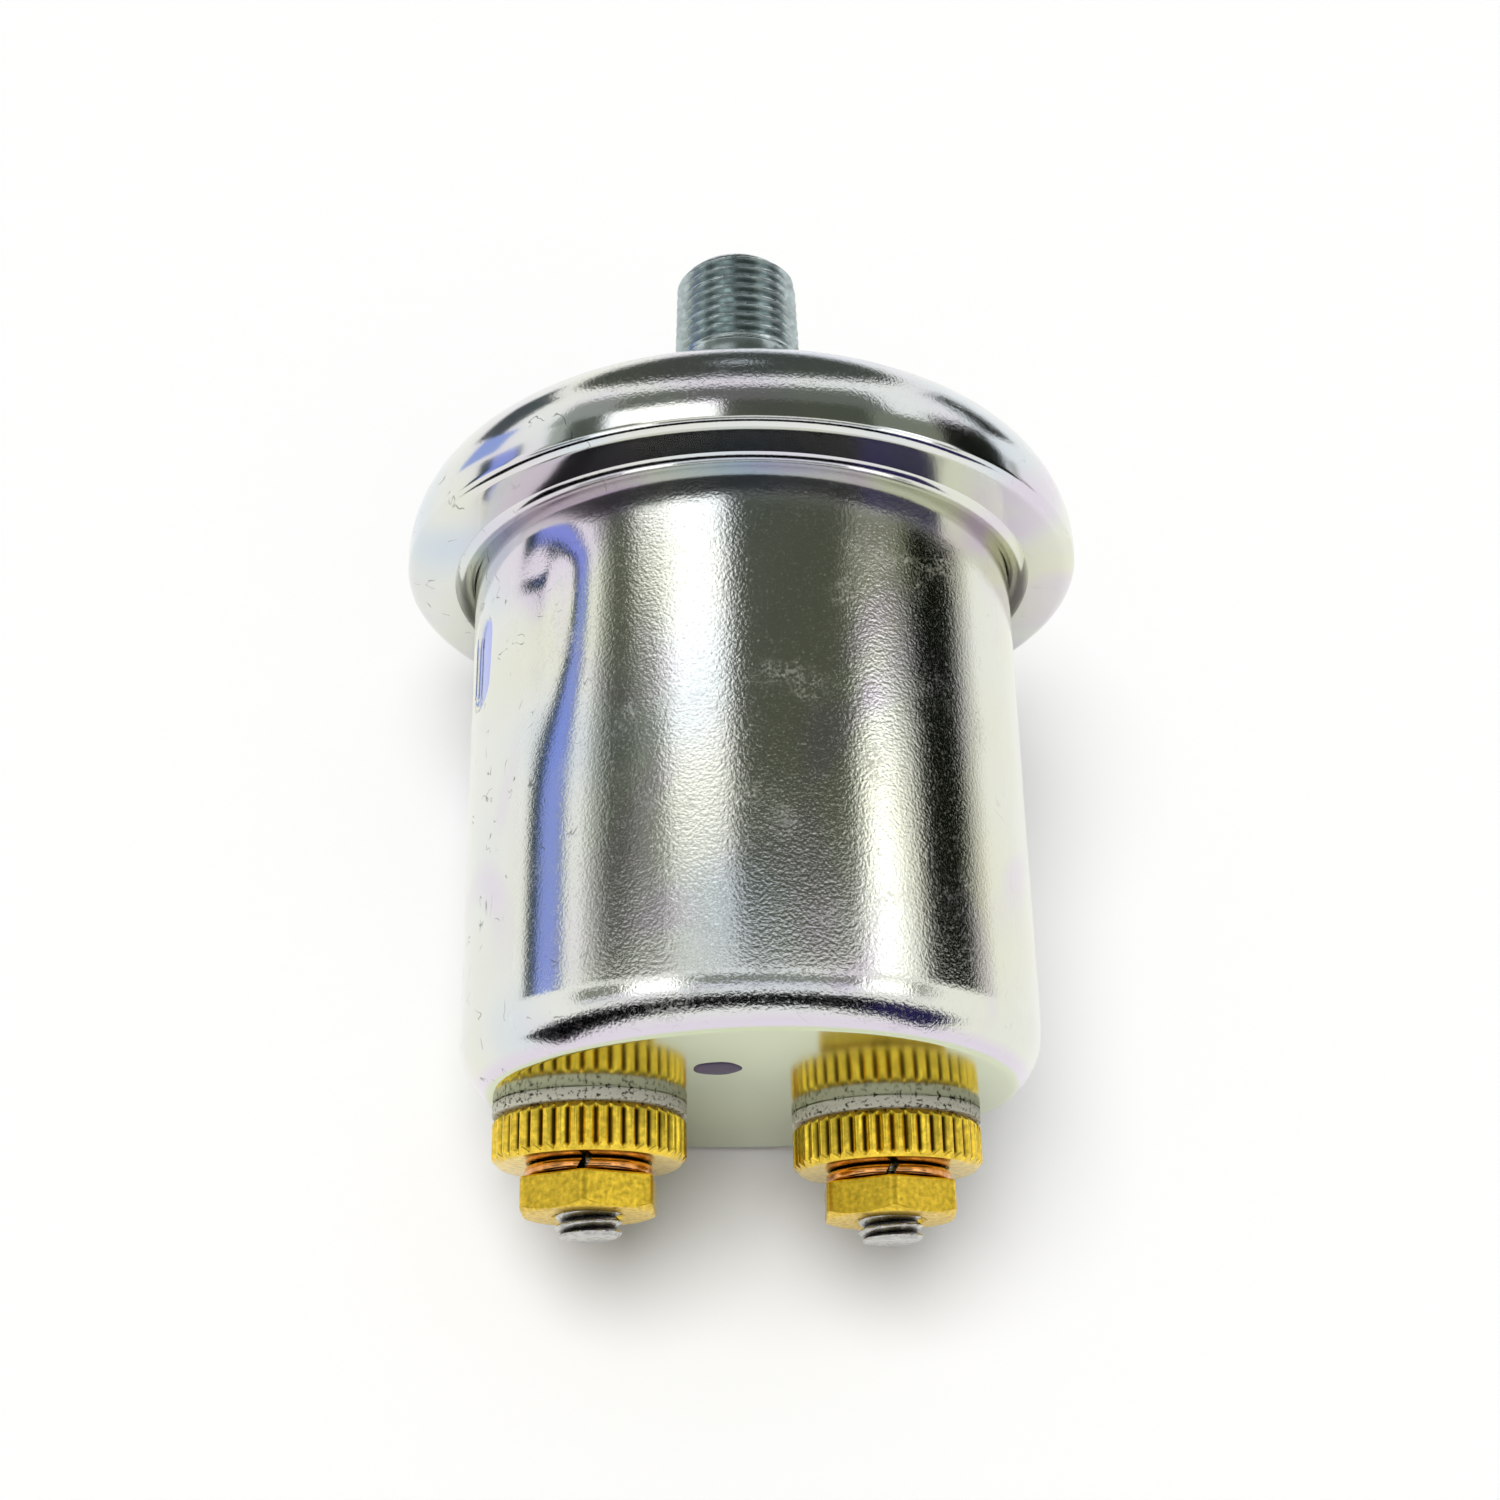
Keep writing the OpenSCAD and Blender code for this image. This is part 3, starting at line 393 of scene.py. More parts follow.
def turn(bm, profile, centre, angles, shape=None, closed=True):
    """Turns a profile of radius and y about an axis along Y."""
    rings = []
    for radius, y in profile:
        if radius < 1e-9:
            rings.append([bm.verts.new((centre[0], y, centre[1]))])
            continue
        radii = [shape(a, radius, y) if shape else radius for a in angles]
        rings.append([bm.verts.new(about(centre, r, a, y)) for r, a in zip(radii, angles)])
    count = len(angles)
    for low, high in zip(rings, rings[1:] + (rings[:1] if closed else [])):
        for i in range(count):
            j = (i + 1) % count
            corners = [low[i % len(low)], low[j % len(low)], high[j % len(high)], high[i % len(high)]]
            bm.faces.new(list(dict.fromkeys(corners)))
    return rings


def skin(bm, rings):
    """Closes a row of like rings to a bar with flat ends."""
    count = len(rings[0])
    for one, two in zip(rings, rings[1:]):
        for k in range(count):
            bm.faces.new((one[k], one[(k + 1) % count], two[(k + 1) % count], two[k]))
    bm.faces.new(rings[0])
    bm.faces.new(list(reversed(rings[-1])))


def put(bm, name, material):
    """Makes an object of the mesh and puts it in the scene."""
    mesh = bpy.data.meshes.new(name)
    bm.to_mesh(mesh)
    bm.free()
    mesh.materials.append(material)
    made = bpy.data.objects.new(name, mesh)
    bpy.context.scene.collection.objects.link(made)
    return made


def stand_in(bm, name, node, material, sharp=32):
    """Makes a piece of the mesh, which stands for a CAD node and moves with its body."""
    bmesh.ops.recalc_face_normals(bm, faces=bm.faces)
    piece = put(bm, name, bpy.data.materials[material])
    piece.data.shade_smooth()
    piece.data.set_sharp_from_angle(angle=math.radians(sharp))
    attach(piece, BODY_OF[node])
    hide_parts(node)
    return piece


def box_axis(node):
    """Centre of a round node across its axis, its radius, and its lowest and highest y."""
    low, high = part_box(node)
    return ((low.x + high.x) / 2, (low.z + high.z) / 2), (high.x - low.x) / 2, low.y, high.y


def on_stud(s, side, piece):
    """Node of a piece on a stud, its centre, bore and outer radius, and its lowest and highest y."""
    node = f"{side}_{piece}"
    low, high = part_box(node)
    return node, box_axis(f"{side}_stud")[0], s.stud_radius + s.bore_clear, (high.z - low.z) / 2, low.y, high.y


def end_rise(s, z):
    """How far the closed end's outside lies above its lowest plane: it falls back above the flat seats."""
    share = max(0.0, z - s.seat_top) / (s.can_radius - s.seat_top)
    return s.end_lean * share * share


def fill_bulge(bm, rim, loops, holes, radius, height):
    """Fills a bulged round end inside its rim and round its holes, with points between for the bulge."""
    verts = list(rim) + [vert for loop in loops for vert in loop]
    count = 18
    for k in range(1, count):
        for angle in even(8 * k, k):
            x, z = (radius * k / count * f(angle) for f in (math.sin, math.cos))
            if all(math.hypot(x - c[0], z - c[1]) > r + 0.3 * MM for c, r in holes):
                verts.append(bm.verts.new((x, height(x, z), z)))
    flat = [Vector((vert.co.x, vert.co.z)) for vert in verts]
    edges, start = [], 0
    for loop in [rim] + loops:
        edges += [(start + i, start + (i + 1) % len(loop)) for i in range(len(loop))]
        start += len(loop)
    _, _, faces, origin, _, _ = geometry.delaunay_2d_cdt(flat, edges, [], 0, 1e-9)
    for face in faces:
        corners = [verts[origin[i][0]] for i in face]
        x, z = (sum(v.co[axis] for v in corners) / 3 for axis in (0, 2))
        if all(math.hypot(x - c[0], z - c[1]) > r for c, r in holes):
            bm.faces.new(corners)


def hexagon_radius(angle, flats, corner_angle, ease):
    """Radius of a hexagon with slightly worn corners."""
    off = (angle - corner_angle + math.pi / 6) % (math.pi / 3) - math.pi / 6
    sharp = flats / 2 / math.cos(math.pi / 6 - abs(off))
    return min(sharp, flats / 2 / math.cos(math.pi / 6) - ease)


def thread_drop(angle, y, pitch, depth):
    """Depth of a right-hand thread's groove, with flat crests and slightly rounded roots."""
    crest, flank, ease = 0.1, 0.84, 0.35
    phase = (y / pitch - angle / (2 * math.pi)) % 1.0
    groove = min(1.0, max(0.0, (1 - abs(2 * phase - 1) - crest) / flank))
    return depth * (groove + ease * groove * groove * (3 - 2 * groove)) / (1 + ease)


class SWITCH_OT_stage(bpy.types.Operator):
    """Sets the camera, the white table, the soft light and the cards that the metal reflects"""

    bl_idname = "pressure_switch.stage"
    bl_label = "Stage"

    def execute(self, context):
        stage = context.scene.switch_stage
        scene = context.scene
        scene.view_settings.view_transform = "Standard"
        lens = bpy.data.cameras.new("photo_view")
        lens.lens = stage.lens
        lens.clip_start = 0.005
        camera = bpy.data.objects.new("photo_view", lens)
        camera.location = stage.camera
        camera.rotation_euler = stage.aim
        scene.collection.objects.link(camera)
        scene.camera = camera
        self.light_world(scene, stage)
        self.lay_floor(stage)
        self.hang_cards()
        return {"FINISHED"}

    def light_world(self, scene, stage):
        world = bpy.data.worlds.new("white_room")
        world.use_nodes = True
        tree = world.node_tree
        tree.nodes.clear()
        rays = add(tree, "LightPath", out=None)
        # Light that the metal throws on the table comes from the fill, not from the white that the metal mirrors.
        straight = add(tree, "MapRange", (rays["Diffuse Depth"], 1.0, 0.0))
        mirrored = add(tree, "Math", (straight, rays["Is Glossy Ray"]), operation="MULTIPLY")
        seen = rays["Is Camera Ray"]
        for more in (mirrored, rays["Is Transmission Ray"]):
            seen = add(tree, "Math", (seen, more), operation="MAXIMUM")
        up = add(tree, "SeparateXYZ", (add(tree, "TexCoord", out="Generated"),), "Z")
        fill = add(tree, "MapRange", (up, 0.0, 1.0, stage.low_fill, stage.ambient))
        level = add(tree, "MapRange", (seen, 0.0, 1.0, fill, 1.0))
        sky = add(tree, "Background", {"Color": (1, 1, 1, 1), "Strength": level})
        add(tree, "OutputWorld", {"Surface": sky}, None)
        scene.world = world
        key = bpy.data.lights.new("soft_key", "SUN")
        key.energy = stage.sun
        key.angle = stage.sun_spread
        lamp = bpy.data.objects.new("soft_key", key)
        lamp.rotation_euler = Vector(stage.sun_from).to_track_quat("Z", "Y").to_euler()
        lamp.visible_glossy = False
        scene.collection.objects.link(lamp)

    def lay_floor(self, stage):
        # The switch lies on the cap's rim and the edge of the can's end, so its table leans against its axis.
        material, tree = blank("matt_white_table")
        place = add(tree, "TexCoord", out="Object")
        tooth = add(tree, "TexNoise", {"Vector": place, "Scale": per(1.5), "Detail": 3.0})
        bumped = add(tree, "Bump", {"Distance": 0.01 * MM, "Height": tooth})
        shader = add(tree, "BsdfDiffuse", {"Color": tuple(stage.floor), "Normal": bumped})
        add(tree, "OutputMaterial", {"Surface": shader}, None)
        # The metal mirrors only the white sheet it lies on: past that, the room's cards.
        for name, inner, outer in (
                ("white_sheet", 0.0, stage.sheet_radius), ("white_table", stage.sheet_radius, stage.table_radius)):
            bm = bmesh.new()
            turn(bm, [(inner, 0), (outer, 0)], (0, 0), even(96), closed=False)
            table = put(bm, name, material)
            table.location = stage.floor_place
            table.rotation_euler = (math.pi / 2 - stage.floor_slope, 0, 0)
            table.visible_glossy = inner == 0

    def hang_cards(self):
        # Curved cards on a tube round the switch's axis: name, from and to angle from the top towards the right,
        # from and to place along the axis in metres, colour and, where they differ, level and the tube's radius.
        # Only reflections in the metal see them.
        tube, near_tube, far_tube = 0.4, 0.39, 2.0
        cards = (
            ("blue_edge", -107.5, -101, 0.03, 0.215, "#1B3439"),
            ("blue", -101, -89.5, 0.03, 0.215, "#93A4F2"),
            ("blue_post", -89.5, -87.5, 0.03, 0.215, "#2A484C"),
            ("left_pale", -77, -70, 0.03, 0.26, "#B0B4AC"),
            ("left_shade", -70, -57, 0.03, 0.26, "#565A50"),
            ("left_grey", -57, -43, 0.042, 0.175, "#80847A"),
            ("overhead_lamp", -55, -20, 0.175, 0.25, "#FFFFFF", 1.6, tube),
            ("overhead_strip", -43, -20, 0.095, 0.175, "#FFFFFF", 1.5, tube),
            ("overhead_dim", -43, -20, 0.042, 0.095, "#B4B8AE"),
            ("overhead_shade", -18, 31, 0.06, 0.26, "#50544A"),
            ("overhead_grey", -18, 31, 0.042, 0.06, "#8A8E7E"),
            ("strip_lamp", 35, 47, 0.03, 0.125, "#FFFFFF", 1.9, near_tube),
            ("strip_shade", 31, 57, 0.125, 0.26, "#7E8274"),
            ("right_shade", 57, 85, 0.02, 0.33, "#0E120B"),
            ("right_grey", 87, 92, 0.02, 0.215, "#B9B6B0"),
            ("front_grey", -79, 57, -0.11, -0.02, "#84887F"),
            ("front_pale", -79, 57, -0.167, -0.11, "#E6E6F2"),
            ("front_left_lamp", -58, -38, -0.14, -0.03, "#FFFFFF", 1.9, near_tube),
            ("front_right_lamp", 30, 48, -0.14, -0.03, "#FFFFFF", 1.9, near_tube),
            ("far_blue", -125, -102, 0.245, 0.37, "#9DB4F0"),
            ("far_right_shade", 88, 112, 0.33, 0.6, "#12180F"),
            ("far_shade", -56, 40, 0.26, 0.50, "#6C716A"),
            ("far_left_grey", -80, -56, 0.26, 0.5, "#9CA19A"),
            ("far_left_shade", -150, -112, 0.37, 0.66, "#4D5457"),
            ("far_wall", -180, 180, 0.8, 9.0, "#4C504A"),
            ("camera_shade", -118, 40, -2.0, -0.9, "#020203", 1.0, far_tube),
            ("camera_violet", 40, 80, -2.0, -0.9, "#241F52", 1.0, far_tube),
        )
        for name, start, end, near, far, tone, *more in cards:
            level, reach = more or (1.0, tube)
            material, tree = blank(name + "_card")
            glow = add(tree, "Emission", {"Color": linear(tone), "Strength": level})
            add(tree, "OutputMaterial", {"Surface": glow}, None)
            bm = bmesh.new()
            steps = max(2, round((end - start) / 5))
            turns = [math.radians(start + (end - start) * i / steps) for i in range(steps + 1)]
            rows = [[bm.verts.new(about((0, 0), reach, t, y)) for t in turns] for y in (near, far)]
            for i in range(steps):
                bm.faces.new((rows[0][i], rows[0][i + 1], rows[1][i + 1], rows[1][i]))
            card = put(bm, name, material)
            for ray in ("camera", "diffuse", "shadow", "transmission"):
                setattr(card, "visible_" + ray, False)


class SWITCH_OT_can(bpy.types.Operator):
    """Makes the drawn can with its flange, pressed slot mark and stud holes"""

    bl_idname = "pressure_switch.can"
    bl_label = "Can"

    def execute(self, context):
        s = context.scene.switch_sizes
        low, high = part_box("can")
        end, top, flange = low.y, high.y, high.x
        inner = s.can_radius - s.can_wall
        corner = s.can_radius - s.outer_corner
        under = top - s.can_wall
        wall_low, wall_high = end + s.outer_corner - s.corner_sink, under - s.can_fillet
        mark_y = end + s.mark_height
        fine_low, fine_high = mark_y - 0.75 * s.mark_length, mark_y + 0.6 * s.mark_length

        def outside(x, z):
            return end + end_rise(s, z)

        def inside(x, z):
            return end + s.end_crown - math.sqrt((s.end_crown - s.can_wall) ** 2 - x * x - z * z)

        edge_in = s.can_radius - s.can_corner
        steps = 24
        profile = [(edge_in, end)] * (steps + 2)
        profile += run((s.can_radius, wall_low), (s.can_radius, fine_low), 20)
        profile += run((s.can_radius, fine_low), (s.can_radius, fine_high), 56)
        profile += run((s.can_radius, fine_high), (s.can_radius, wall_high), 6)
        profile += arc((s.can_radius + s.can_fillet, wall_high), s.can_fillet, 180, 90, 10)
        profile += [(flange, under), (flange, top), (inner, top)]
        profile += run((inner, top), (inner, wall_low), 40)
        profile += arc((edge_in, end + s.can_corner), s.can_corner - s.can_wall, 0, -72, 8)
        edge_in = profile[-1][0]
        fine = [s.mark_angle + math.radians(0.35 * i) for i in range(-22, 23)]
        span = 2 * math.pi - (fine[-1] - fine[0])
        coarse = [fine[-1] + span * i / 280 for i in range(1, 280)]
        angles = fine + coarse
        wall = s.can_radius - 0.01 * MM
        mark_edge = 0.45 * MM
        # The dent runs out further to the left and downwards than to the right and upwards.
        dent_left, dent_up, dent_down = 2.1, 0.8, 2.5

        def pressed(angle, radius, y):
            if radius < inner - 0.01 * MM or not wall_low <= y <= wall_high:
                return radius
            off = (angle - s.mark_angle + math.pi) % (2 * math.pi) - math.pi
            along = max(0.0, abs(y - mark_y) - (s.mark_length - s.mark_width) / 2)
            reach = math.hypot(off * s.can_radius, along) - s.mark_width / 2
            sunk = min(1.0, max(0.0, 0.5 - reach / mark_edge))
            across = ((angle - s.dent_angle + math.pi) % (2 * math.pi) - math.pi) * s.can_radius / s.dent_width
            across /= 1.0 if across > 0 else dent_left
            up = (y - end - s.dent_height) / s.dent_width
            up /= dent_up if up > 0 else dent_down
            fade = min(1.0, (wall_high - y) / s.dent_width)
            dent = math.exp(-0.5 * (across * across + up * up)) * fade * fade * (3 - 2 * fade)
            mark = s.mark_depth * sunk * sunk * (3 - 2 * sunk) if radius > wall else 0.0
            return radius - mark - s.dent_depth * dent

        bm = bmesh.new()
        rings = turn(bm, profile, (0, 0), angles, pressed, closed=False)
        for i, angle in enumerate(angles):
            # The rounding runs down until it meets the closed end, which lies differently all round.
            down, up = -math.pi / 2, 0.0
            for _ in range(30):
                meet = (down + up) / 2
                radius = corner + s.outer_corner * math.cos(meet)
                y = wall_low + s.outer_corner * math.sin(meet)
                if y < outside(radius * math.sin(angle), radius * math.cos(angle)):
                    down = meet
                else:
                    up = meet
            edge = corner + s.outer_corner * math.cos(meet)
            meet += s.edge_ease / s.outer_corner
            for k, ring in enumerate(rings[:steps + 2]):
                if k < 2:
                    radius = edge - (3, 1)[k] * s.edge_ease
                    y = outside(radius * math.sin(angle), radius * math.cos(angle))
                else:
                    lean = meet * (1 - (k - 2) / (steps - 1))
                    radius = corner + s.outer_corner * math.cos(lean)
                    y = wall_low + s.outer_corner * math.sin(lean)
                ring[i].co = about((0, 0), radius, angle, y)
        holes = [(box_axis(f"{side}_stud")[0], s.stud_radius + s.bore_clear + s.bush_wall + SET_IN_GAP)
                 for side in SIDES]
        holes.append((box_axis("seal_dot")[0], s.seal_hole))
        loops = [[], []]
        for centre, radius in holes:
            made = turn(bm, [(radius, end), (radius, end + s.can_wall)], centre, even(48), closed=False)
            for side, loop, height in zip(loops, made, (outside, inside)):
                side.append(loop)
                for vert in loop:
                    vert.co.y = height(vert.co.x, vert.co.z)
        for vert in rings[-1]:
            vert.co.y = inside(vert.co.x, vert.co.z)
        fill_bulge(bm, rings[0], loops[0], holes, min(v.co.xz.length for v in rings[0]), outside)
        fill_bulge(bm, rings[-1], loops[1], holes, edge_in, inside)
        stand_in(bm, "can_shell", "can", "zinc_plated_drawn_steel")
        return {"FINISHED"}


class SWITCH_OT_cap(bpy.types.Operator):
    """Makes the domed cap with its rim rolled over the can's flange"""

    bl_idname = "pressure_switch.cap"
    bl_label = "Cap"

    def execute(self, context):
        s = context.scene.switch_sizes
        centre, radius, low, high = box_axis("pressure_cap")
        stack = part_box("can")[1].x + 0.1 * MM
        flange = low + s.lip_thickness
        dome = (radius - s.dome_round, high - s.dome_round)
        inside = s.dome_round - s.cap_wall
        reach = math.degrees(math.acos((s.chamber_radius - dome[0]) / inside))
        hole = s.spigot_radius + SET_IN_GAP
        ease = 0.12 * MM
        profile = [(s.lip_inner, low + ease), (s.lip_inner + ease, low)]
        profile += run(profile[-1], (radius - s.lip_round, low), 6)
        profile += arc((radius - s.lip_round, low + s.lip_round), s.lip_round, -90, 0, 16)
        profile += arc(dome, s.dome_round, 0, 90, 48)
        profile += run((dome[0], high), (hole, high), 10)
        profile += [(hole, high), (hole, high - s.cap_wall)]
        profile += arc(dome, inside, 90, reach, 8)
        profile += [(s.chamber_radius, high - s.stack_top), (stack, high - s.stack_top), (stack, flange),
                    (s.lip_inner, flange)]
        bm = bmesh.new()
        turn(bm, profile, centre, even(256))
        stand_in(bm, "cap_shell", "pressure_cap", "zinc_plated_drawn_steel")
        return {"FINISHED"}


class SWITCH_OT_port(bpy.types.Operator):
    """Makes the port fitting with its hexagon, plain neck and taper thread"""

    bl_idname = "pressure_switch.port"
    bl_label = "Port fitting"

    def execute(self, context):
        s = context.scene.switch_sizes
        low, high = (corner.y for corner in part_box("port_fitting"))
        cap_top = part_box("pressure_cap")[1].y
        collar = s.spigot_radius + s.stake_width
        flat = s.hex_flats / 2
        corner = flat / math.cos(math.pi / 6)
        drop = (corner - flat) * math.tan(math.radians(30))
        fillet, lead, worn = 0.3 * MM, 0.25 * MM, 0.15 * MM
        neck_top = s.neck_length
        foot = s.thread_tip + (high - neck_top) * s.thread_taper / 2
        rows = 132
        profile = [(s.inlet_radius, low), (collar, low), (collar, low + s.stake_height),
                   (s.spigot_radius, low + s.stake_height), (s.spigot_radius, cap_top), (corner, cap_top)]
        profile += run((corner, cap_top), (corner, -drop), 3)
        profile += run((corner, -drop), (flat - 0.1 * MM, 0), 8)
        profile += [(flat - worn, 0)]
        profile += arc((s.neck_radius + fillet, fillet), fillet, 270, 180, 5)
        profile += run((s.neck_radius, fillet), (s.neck_radius, neck_top), 6)
        profile += [(s.neck_radius, neck_top - 0.12 * MM), (foot, neck_top)]
        profile += run((foot, neck_top), (s.thread_tip, high), rows)
        profile += [(s.thread_tip - s.tip_chamfer, high)]
        profile += [(s.inlet_radius + lead, high), (s.inlet_radius, high - lead)]

        def cut(angle, radius, y):
            if y < 1e-6 and radius > flat - 0.12 * MM:
                return min(radius, hexagon_radius(angle, s.hex_flats, math.radians(30), worn))
            if y > neck_top + 1e-6 and radius > s.thread_tip - 1e-6:
                fade = min(1.0, (y - neck_top) / (0.75 * s.thread_pitch))
                radius -= thread_drop(angle, y, s.thread_pitch, s.thread_depth) * fade
                return min(radius, s.thread_tip - s.tip_chamfer + (high - y))
            return radius

        bm = bmesh.new()
        turn(bm, profile, (0, 0), even(192), cut)
        stand_in(bm, "port_body", "port_fitting", "blue_zinc_turned_steel", 40)
        return {"FINISHED"}


class SWITCH_OT_studs(bpy.types.Operator):
    """Makes the two threaded terminal studs"""

    bl_idname = "pressure_switch.studs"
    bl_label = "Studs"

    def execute(self, context):
        s = context.scene.switch_sizes
        for side in SIDES:
            centre, head_radius, low, high = box_axis(f"{side}_stud")
            thread_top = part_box(f"{side}_knurled_nut")[0].y
            under, ease = high - s.stud_head, 0.3 * MM
            profile = [(0, low), (s.stud_radius - s.stud_chamfer - s.stud_depth * 0.6, low)]
            profile += run((s.stud_radius, low), (s.stud_radius, thread_top), 96)
            profile += [(s.stud_radius, thread_top), (s.stud_radius, under), (head_radius, under)]
            profile += arc((head_radius - ease, high - ease), ease, 0, 90, 5)
            profile += [(0, high)]

            def cut(angle, radius, y):
                if y >= thread_top - 1e-9 or radius < s.stud_radius - 1e-9:
                    return radius
                fade = min(1.0, (thread_top - y) / (0.75 * s.stud_pitch))
                radius -= thread_drop(angle, y, s.stud_pitch, s.stud_depth) * fade
                return min(radius, s.stud_radius - s.stud_chamfer + (y - low))

            bm = bmesh.new()
            turn(bm, profile, centre, even(96), cut, closed=False)
            stand_in(bm, f"{side}_stud_rod", f"{side}_stud", "bright_rolled_steel", 40)
        return {"FINISHED"}


class SWITCH_OT_knurled_nuts(bpy.types.Operator):
    """Makes the two round nuts with a straight knurl"""

    bl_idname = "pressure_switch.knurled_nuts"
    bl_label = "Knurled nuts"

    def execute(self, context):
        s = context.scene.switch_sizes
        for side in SIDES:
            node, centre, bore, radius, low, high = on_stud(s, side, "knurled_nut")
            chamfer, land_width, dish = s.knurl_chamfer, 0.1 * MM, 0.02 * MM
            step = 2 * math.pi / s.knurl_grooves
            crest_share, flank_share, crest_round = 0.28, 0.66, 0.05 * MM
            profile = [(bore, low), (radius - chamfer - land_width, low), (radius - chamfer, low + dish)]
            profile += run((radius - chamfer, low), (radius, low + chamfer), 8)
            profile += [(radius, low + chamfer)]
            profile += run((radius, low + chamfer), (radius, high - chamfer), 6)
            profile += [(radius, high - chamfer)]
            profile += run((radius, high - chamfer), (radius - chamfer, high), 8)
            profile += [(radius - chamfer, high - dish), (radius - chamfer - land_width, high), (bore, high)]

            def cut(angle, at, y):
                off = abs((angle + math.pi / 2) / step % 1.0 - 0.5) * 2
                groove = min(1.0, max(0.0, (off - crest_share) / flank_share))
                land = crest_round * min(1.0, off / crest_share) ** 2
                return min(at, radius - land - (s.knurl_depth - land) * groove) if at > radius - chamfer else at

            bm = bmesh.new()
            turn(bm, profile, centre, even(s.knurl_grooves * 16), cut)
            stand_in(bm, f"{side}_thumb_nut", node, "turned_brass", 24)
        return {"FINISHED"}


class SWITCH_OT_hex_nuts(bpy.types.Operator):
    """Makes the two hex nuts with chamfered outer corners"""

    bl_idname = "pressure_switch.hex_nuts"
    bl_label = "Hex nuts"

    def execute(self, context):
        s = context.scene.switch_sizes
        for side in SIDES:
            node, centre, bore, _, low, high = on_stud(s, side, "hex_nut")
            flat = s.nut_flats / 2
            corner = flat / math.cos(math.pi / 6)
            drop = (corner - flat) * math.tan(math.radians(30))
            lead, worn, ease = 0.25 * MM, 0.1 * MM, 0.12 * MM
            profile = [(bore, low + lead), (bore + lead, low), (flat - worn, low)]
            profile += run((flat - 0.05 * MM, low), (corner, low + drop), 8)
            profile += run((corner, low + drop), (corner, high), 6)
            profile += [(corner, high - ease), (corner - ease, high), (bore, high)]

            def cut(angle, radius, y):
                if radius < flat - 0.8 * worn:
                    return radius
                return min(radius, hexagon_radius(angle, s.nut_flats, s.nut_angle, worn)
                           - (worn if y > high - 1e-7 else 0))

            bm = bmesh.new()
            turn(bm, profile, centre, even(144, s.nut_angle), cut)
            stand_in(bm, f"{side}_nut", node, "tumbled_brass", 24)
        return {"FINISHED"}


class SWITCH_OT_washers(bpy.types.Operator):
    """Makes the fibre washers and the split lock washers"""

    bl_idname = "pressure_switch.washers"
    bl_label = "Washers"

    def execute(self, context):
        s = context.scene.switch_sizes
        for side in SIDES:
            self.fibre(s, side)
            self.lock(s, side)
        return {"FINISHED"}

    def fibre(self, s, side):
        node, centre, bore, radius, low, high = on_stud(s, side, "insulating_washer")
        ease = 0.12 * MM
        profile = [(bore, low)] + run((bore, low), (radius - ease, low), 3)
        profile += arc((radius - ease, low + ease), ease, -90, 0, 4)
        profile += run((radius, low + ease), (radius, high - ease), 5)
        profile += arc((radius - ease, high - ease), ease, 0, 90, 4)
        profile += [(bore, high)]
        layer, nick, nicks_round = 0.6 * MM, 0.07 * MM, 9

        def ragged(angle, at, y):
            if at < radius - 2 * ease:
                return at
            spot = Vector((math.sin(angle), math.cos(angle), y / layer))
            return at - nick * max(0.0, noise.noise(spot * nicks_round) + 0.25)

        bm = bmesh.new()
        turn(bm, profile, centre, even(220), ragged)
        stand_in(bm, f"{side}_fibre_washer", node, "vulcanised_fibre")

    def lock(self, s, side):
        node, centre, bore, outer, low, high = on_stud(s, side, "lock_washer")
        ease = s.lock_round
        mid = (low + high) / 2
        section = arc((bore + ease, low + ease), ease, 180, 270, 4)
        section += arc((outer - ease, low + ease), ease, -90, 0, 6)
        section += arc((outer - ease, high - ease), ease, 0, 90, 6)
        section += arc((bore + ease, high - ease), ease, 90, 180, 4)
        half = s.split_width / 2 / (outer * math.cos(s.split_slant))
        steps = 120
        bm = bmesh.new()
        rings = []
        for i in range(steps + 1):
            share = i / steps
            ring = []
            for radius, y in section:
                lean = (y - mid) * math.tan(s.split_slant) / outer
                angle = s.nut_angle + lean + half + (2 * math.pi - 2 * half) * share
                ring.append(bm.verts.new(about(centre, radius, angle, y)))
            rings.append(ring)
        skin(bm, rings)
        stand_in(bm, f"{side}_spring_washer", node, "bronze_spring_wire")


class SWITCH_OT_seal(bpy.types.Operator):
    """Makes the dab of lacquer over the calibration hole"""

    bl_idname = "pressure_switch.seal"
    bl_label = "Seal dot"

    def execute(self, context):
        s = context.scene.switch_sizes
        centre, radius, low, high = box_axis("seal_dot")
        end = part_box("can")[0].y
        plug = s.seal_hole - SET_IN_GAP
        bottom = high - end_rise(s, centre[1])
        profile = [(0, end - s.seal_rise)]
        profile += [(radius * math.sin(math.radians(a)), end - s.seal_rise * math.cos(math.radians(a)) ** 0.7)
                    for a in (12, 24, 36, 48, 60, 70, 78, 84, 88)]
        profile += [(radius, end), (plug, end), (plug, bottom), (0, bottom)]

        def dabbed(angle, at, y):
            if y > end - 1e-9 and at < radius - 1e-9:
                return at
            return at * (0.95 + 0.05 * math.sin(2 * angle + 0.6) * math.cos(3 * angle))

        bm = bmesh.new()
        turn(bm, profile, centre, even(72), dabbed, closed=False)
        for vert in bm.verts:
            vert.co.y += end_rise(s, vert.co.z)
        stand_in(bm, "lacquer_dab", "seal_dot", "dried_lacquer")
        return {"FINISHED"}


